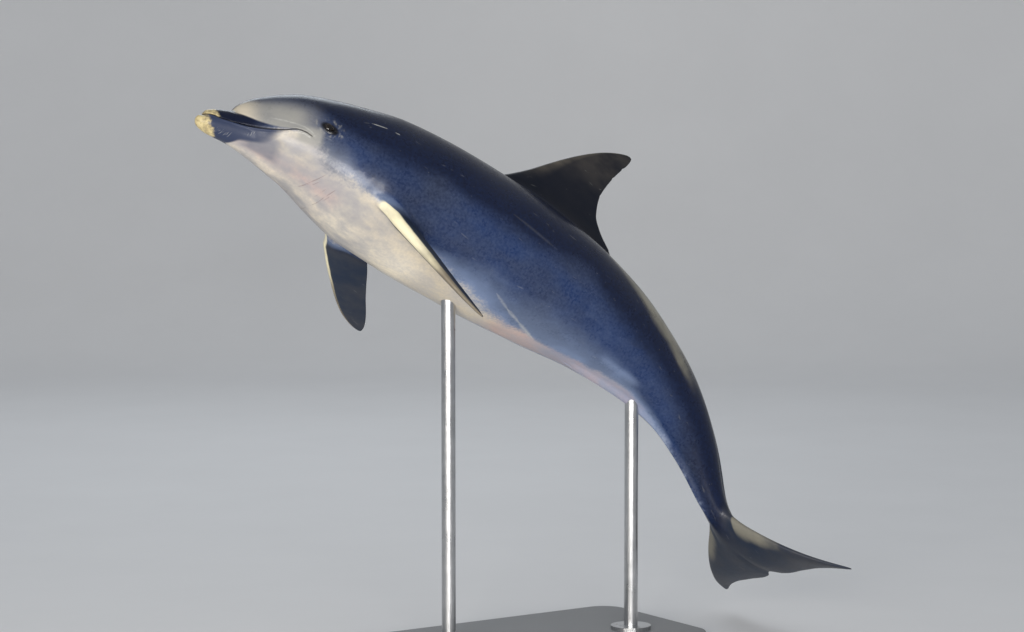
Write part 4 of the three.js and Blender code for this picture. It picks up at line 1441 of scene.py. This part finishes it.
class DOLPHIN_OT_eyes(Operator):
    """Builds the two eyeballs behind the lids"""

    bl_idname = "dolphin.eyes"
    bl_label = "Eyes"

    def execute(self, context):
        look = context.scene.dolphin.eyes
        material = eye_material(look)
        rings, around = 30, 48
        polar = np.linspace(0, np.pi, rings + 1)[1:-1]
        turn = np.arange(around) / around * 2 * np.pi
        tilt = math.radians(EYE["tilt"])
        for name, side in (("eye_left", 1), ("eye_right", -1)):
            # The eye looks along local w; u runs along the lids, tailward, and v across them.
            u = np.sin(polar)[:, None] * np.cos(turn)[None, :]
            v = np.sin(polar)[:, None] * np.sin(turn)[None, :]
            w = np.cos(polar)[:, None] + 0 * u
            u, v, w = (np.concatenate([[0], grid.ravel(), [0]]) for grid in (u, v, w))
            w[0], w[-1] = 1, -1
            radius = EYE["radius"] + 1000 * look.bulge * bell(np.arccos(np.clip(w, -1, 1)), .55)
            radius = np.minimum(radius, EYE["radius"] + .9) - .15
            straight = np.stack([
                EYE["x"] + radius * (u * math.cos(tilt) + v * math.sin(tilt)),
                side * (EYE["side"] + radius * w),
                EYE["z"] + radius * (v * math.cos(tilt) - u * math.sin(tilt)),
            ], -1)
            index = 1 + np.arange((rings - 1) * around).reshape(rings - 1, around)
            after = np.roll(index, -1, axis=1)
            quads = np.stack([index[:-1], index[1:], after[1:], after[:-1]], -1).reshape(-1, 4)
            none = np.full(around, -1)
            first = np.stack([0 * none, index[0], after[0], none], -1)
            last = np.stack([0 * none + len(u) - 1, after[-1], index[-1], none], -1)
            faces = np.concatenate([quads, first, last])
            eye, used = make_object(name + "_ball", pose(straight), faces)
            set_attribute(eye.data, "gaze", "FLOAT_VECTOR", np.stack([u, v, w], -1)[used])
            eye.data.materials.append(material)
            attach(eye, "root")
            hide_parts(name)
        return {"FINISHED"}


class DOLPHIN_OT_stand(Operator):
    """Gives the stand's plate, flanges and rods their finish"""

    bl_idname = "dolphin.stand"
    bl_label = "Stand"

    def execute(self, context):
        look = context.scene.dolphin.stand
        paint = metal_material("stand_paint", look.paint, [.82 * v for v in look.paint], False)
        steel = metal_material("stand_steel", look.steel, [.8 * v for v in look.steel], True)
        for name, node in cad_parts.items():
            if not name.startswith("stand_"):
                continue
            finish = paint if name == "stand_base" else steel
            slots = node.material_slots
            if not slots:
                raise RuntimeError(f"{name} has no material slot")
            for slot in slots:
                slot.material = finish
        return {"FINISHED"}


class DOLPHIN_OT_stage(Operator):
    """Sets the floor, the lights and the camera"""

    bl_idname = "dolphin.stage"
    bl_label = "Stage"

    def execute(self, context):
        look = context.scene.dolphin.stage
        self.floor(look)
        scene = context.scene
        world = bpy.data.worlds.new("studio")
        scene.world = world
        world.use_nodes = True
        background = world.node_tree.nodes["Background"]
        background.inputs["Color"].default_value = (*SKY, 1)
        background.inputs["Strength"].default_value = SKY_STRENGTH
        for name, place, target, size, colour, spread in LIGHTS:
            self.light(name, place, target, size, getattr(look, name), colour, spread)
        self.camera(look, scene)
        scene.view_settings.view_transform = "Standard"
        return {"FINISHED"}

    def floor(self, look):
        """A floor that sweeps up into a wall behind the object."""
        turn = np.linspace(0, np.pi / 2, 17)
        path = [(-FLOOR_REACH, 0)] + [
            (FLOOR_BEHIND + FLOOR_SWEEP * math.sin(a), FLOOR_SWEEP - FLOOR_SWEEP * math.cos(a))
            for a in turn
        ] + [(FLOOR_BEHIND + FLOOR_SWEEP, FLOOR_RISE)]
        back = np.array(FLOOR_BACK)
        side = np.array([FLOOR_BACK[1], -FLOOR_BACK[0]])
        points = [
            (*(back * along + side * across), z)
            for along, z in path for across in (-FLOOR_REACH, FLOOR_REACH)
        ]
        faces = np.array([[2 * i, 2 * i + 1, 2 * i + 3, 2 * i + 2] for i in range(len(path) - 1)])
        floor, _ = make_object("studio_floor", np.array(points), faces)
        floor.data.materials.append(floor_material(look.floor))

    def light(self, name, place, target, size, power, colour, spread):
        """A square light aimed at a target."""
        data = bpy.data.lights.new(name, "AREA")
        data.spread = math.radians(spread)
        data.shape, data.size, data.energy, data.color = "SQUARE", size, power, colour
        lamp = bpy.data.objects.new(name, data)
        lamp.location = place
        aim = Vector(target) - Vector(place)
        lamp.rotation_euler = aim.to_track_quat("-Z", "Y").to_euler()
        bpy.context.scene.collection.objects.link(lamp)

    def camera(self, look, scene):
        """The camera, at its distance and angle from its target."""
        data = bpy.data.cameras.new("camera")
        data.lens, data.sensor_width, data.sensor_fit = look.lens, SENSOR_WIDTH, "HORIZONTAL"
        data.clip_end = CLIP_END
        target = Vector(CAMERA_TARGET)
        flat = math.cos(look.elevation)
        away = Vector((
            math.sin(look.azimuth) * flat, -math.cos(look.azimuth) * flat, math.sin(look.elevation),
        ))
        camera = bpy.data.objects.new("camera", data)
        camera.location = target + away * look.distance
        camera.rotation_euler = (-away).to_track_quat("-Z", "Y").to_euler()
        scene.collection.objects.link(camera)
        scene.camera = camera


class DOLPHIN_PT_panel(Panel):
    """Lists the dolphin's pieces and settings"""

    bl_idname = "DOLPHIN_PT_panel"
    bl_label = "Dolphin"
    bl_space_type = "VIEW_3D"
    bl_region_type = "UI"
    bl_category = "Dolphin"

    def draw(self, context):
        settings = context.scene.dolphin
        for operator, group in zip(PIECES, ("skin", "eyes", "stand", "stage")):
            box = self.layout.box()
            box.operator(operator.bl_idname)
            part = getattr(settings, group)
            for key in type(part).__annotations__:
                box.prop(part, key)


PIECES = (DOLPHIN_OT_skin, DOLPHIN_OT_eyes, DOLPHIN_OT_stand, DOLPHIN_OT_stage)
CLASSES = (
    SkinSettings, EyeSettings, StandSettings, StageSettings, DolphinSettings, *PIECES,
    DOLPHIN_PT_panel,
)


def register():
    for cls in CLASSES:
        bpy.utils.register_class(cls)
    bpy.types.Scene.dolphin = PointerProperty(type=DolphinSettings)


def unregister():
    del bpy.types.Scene.dolphin
    for cls in reversed(CLASSES):
        bpy.utils.unregister_class(cls)


def main():
    register()
    bpy.ops.dolphin.skin()
    bpy.ops.dolphin.eyes()
    bpy.ops.dolphin.stand()
    bpy.ops.dolphin.stage()


if __name__ == "__main__":
    main()
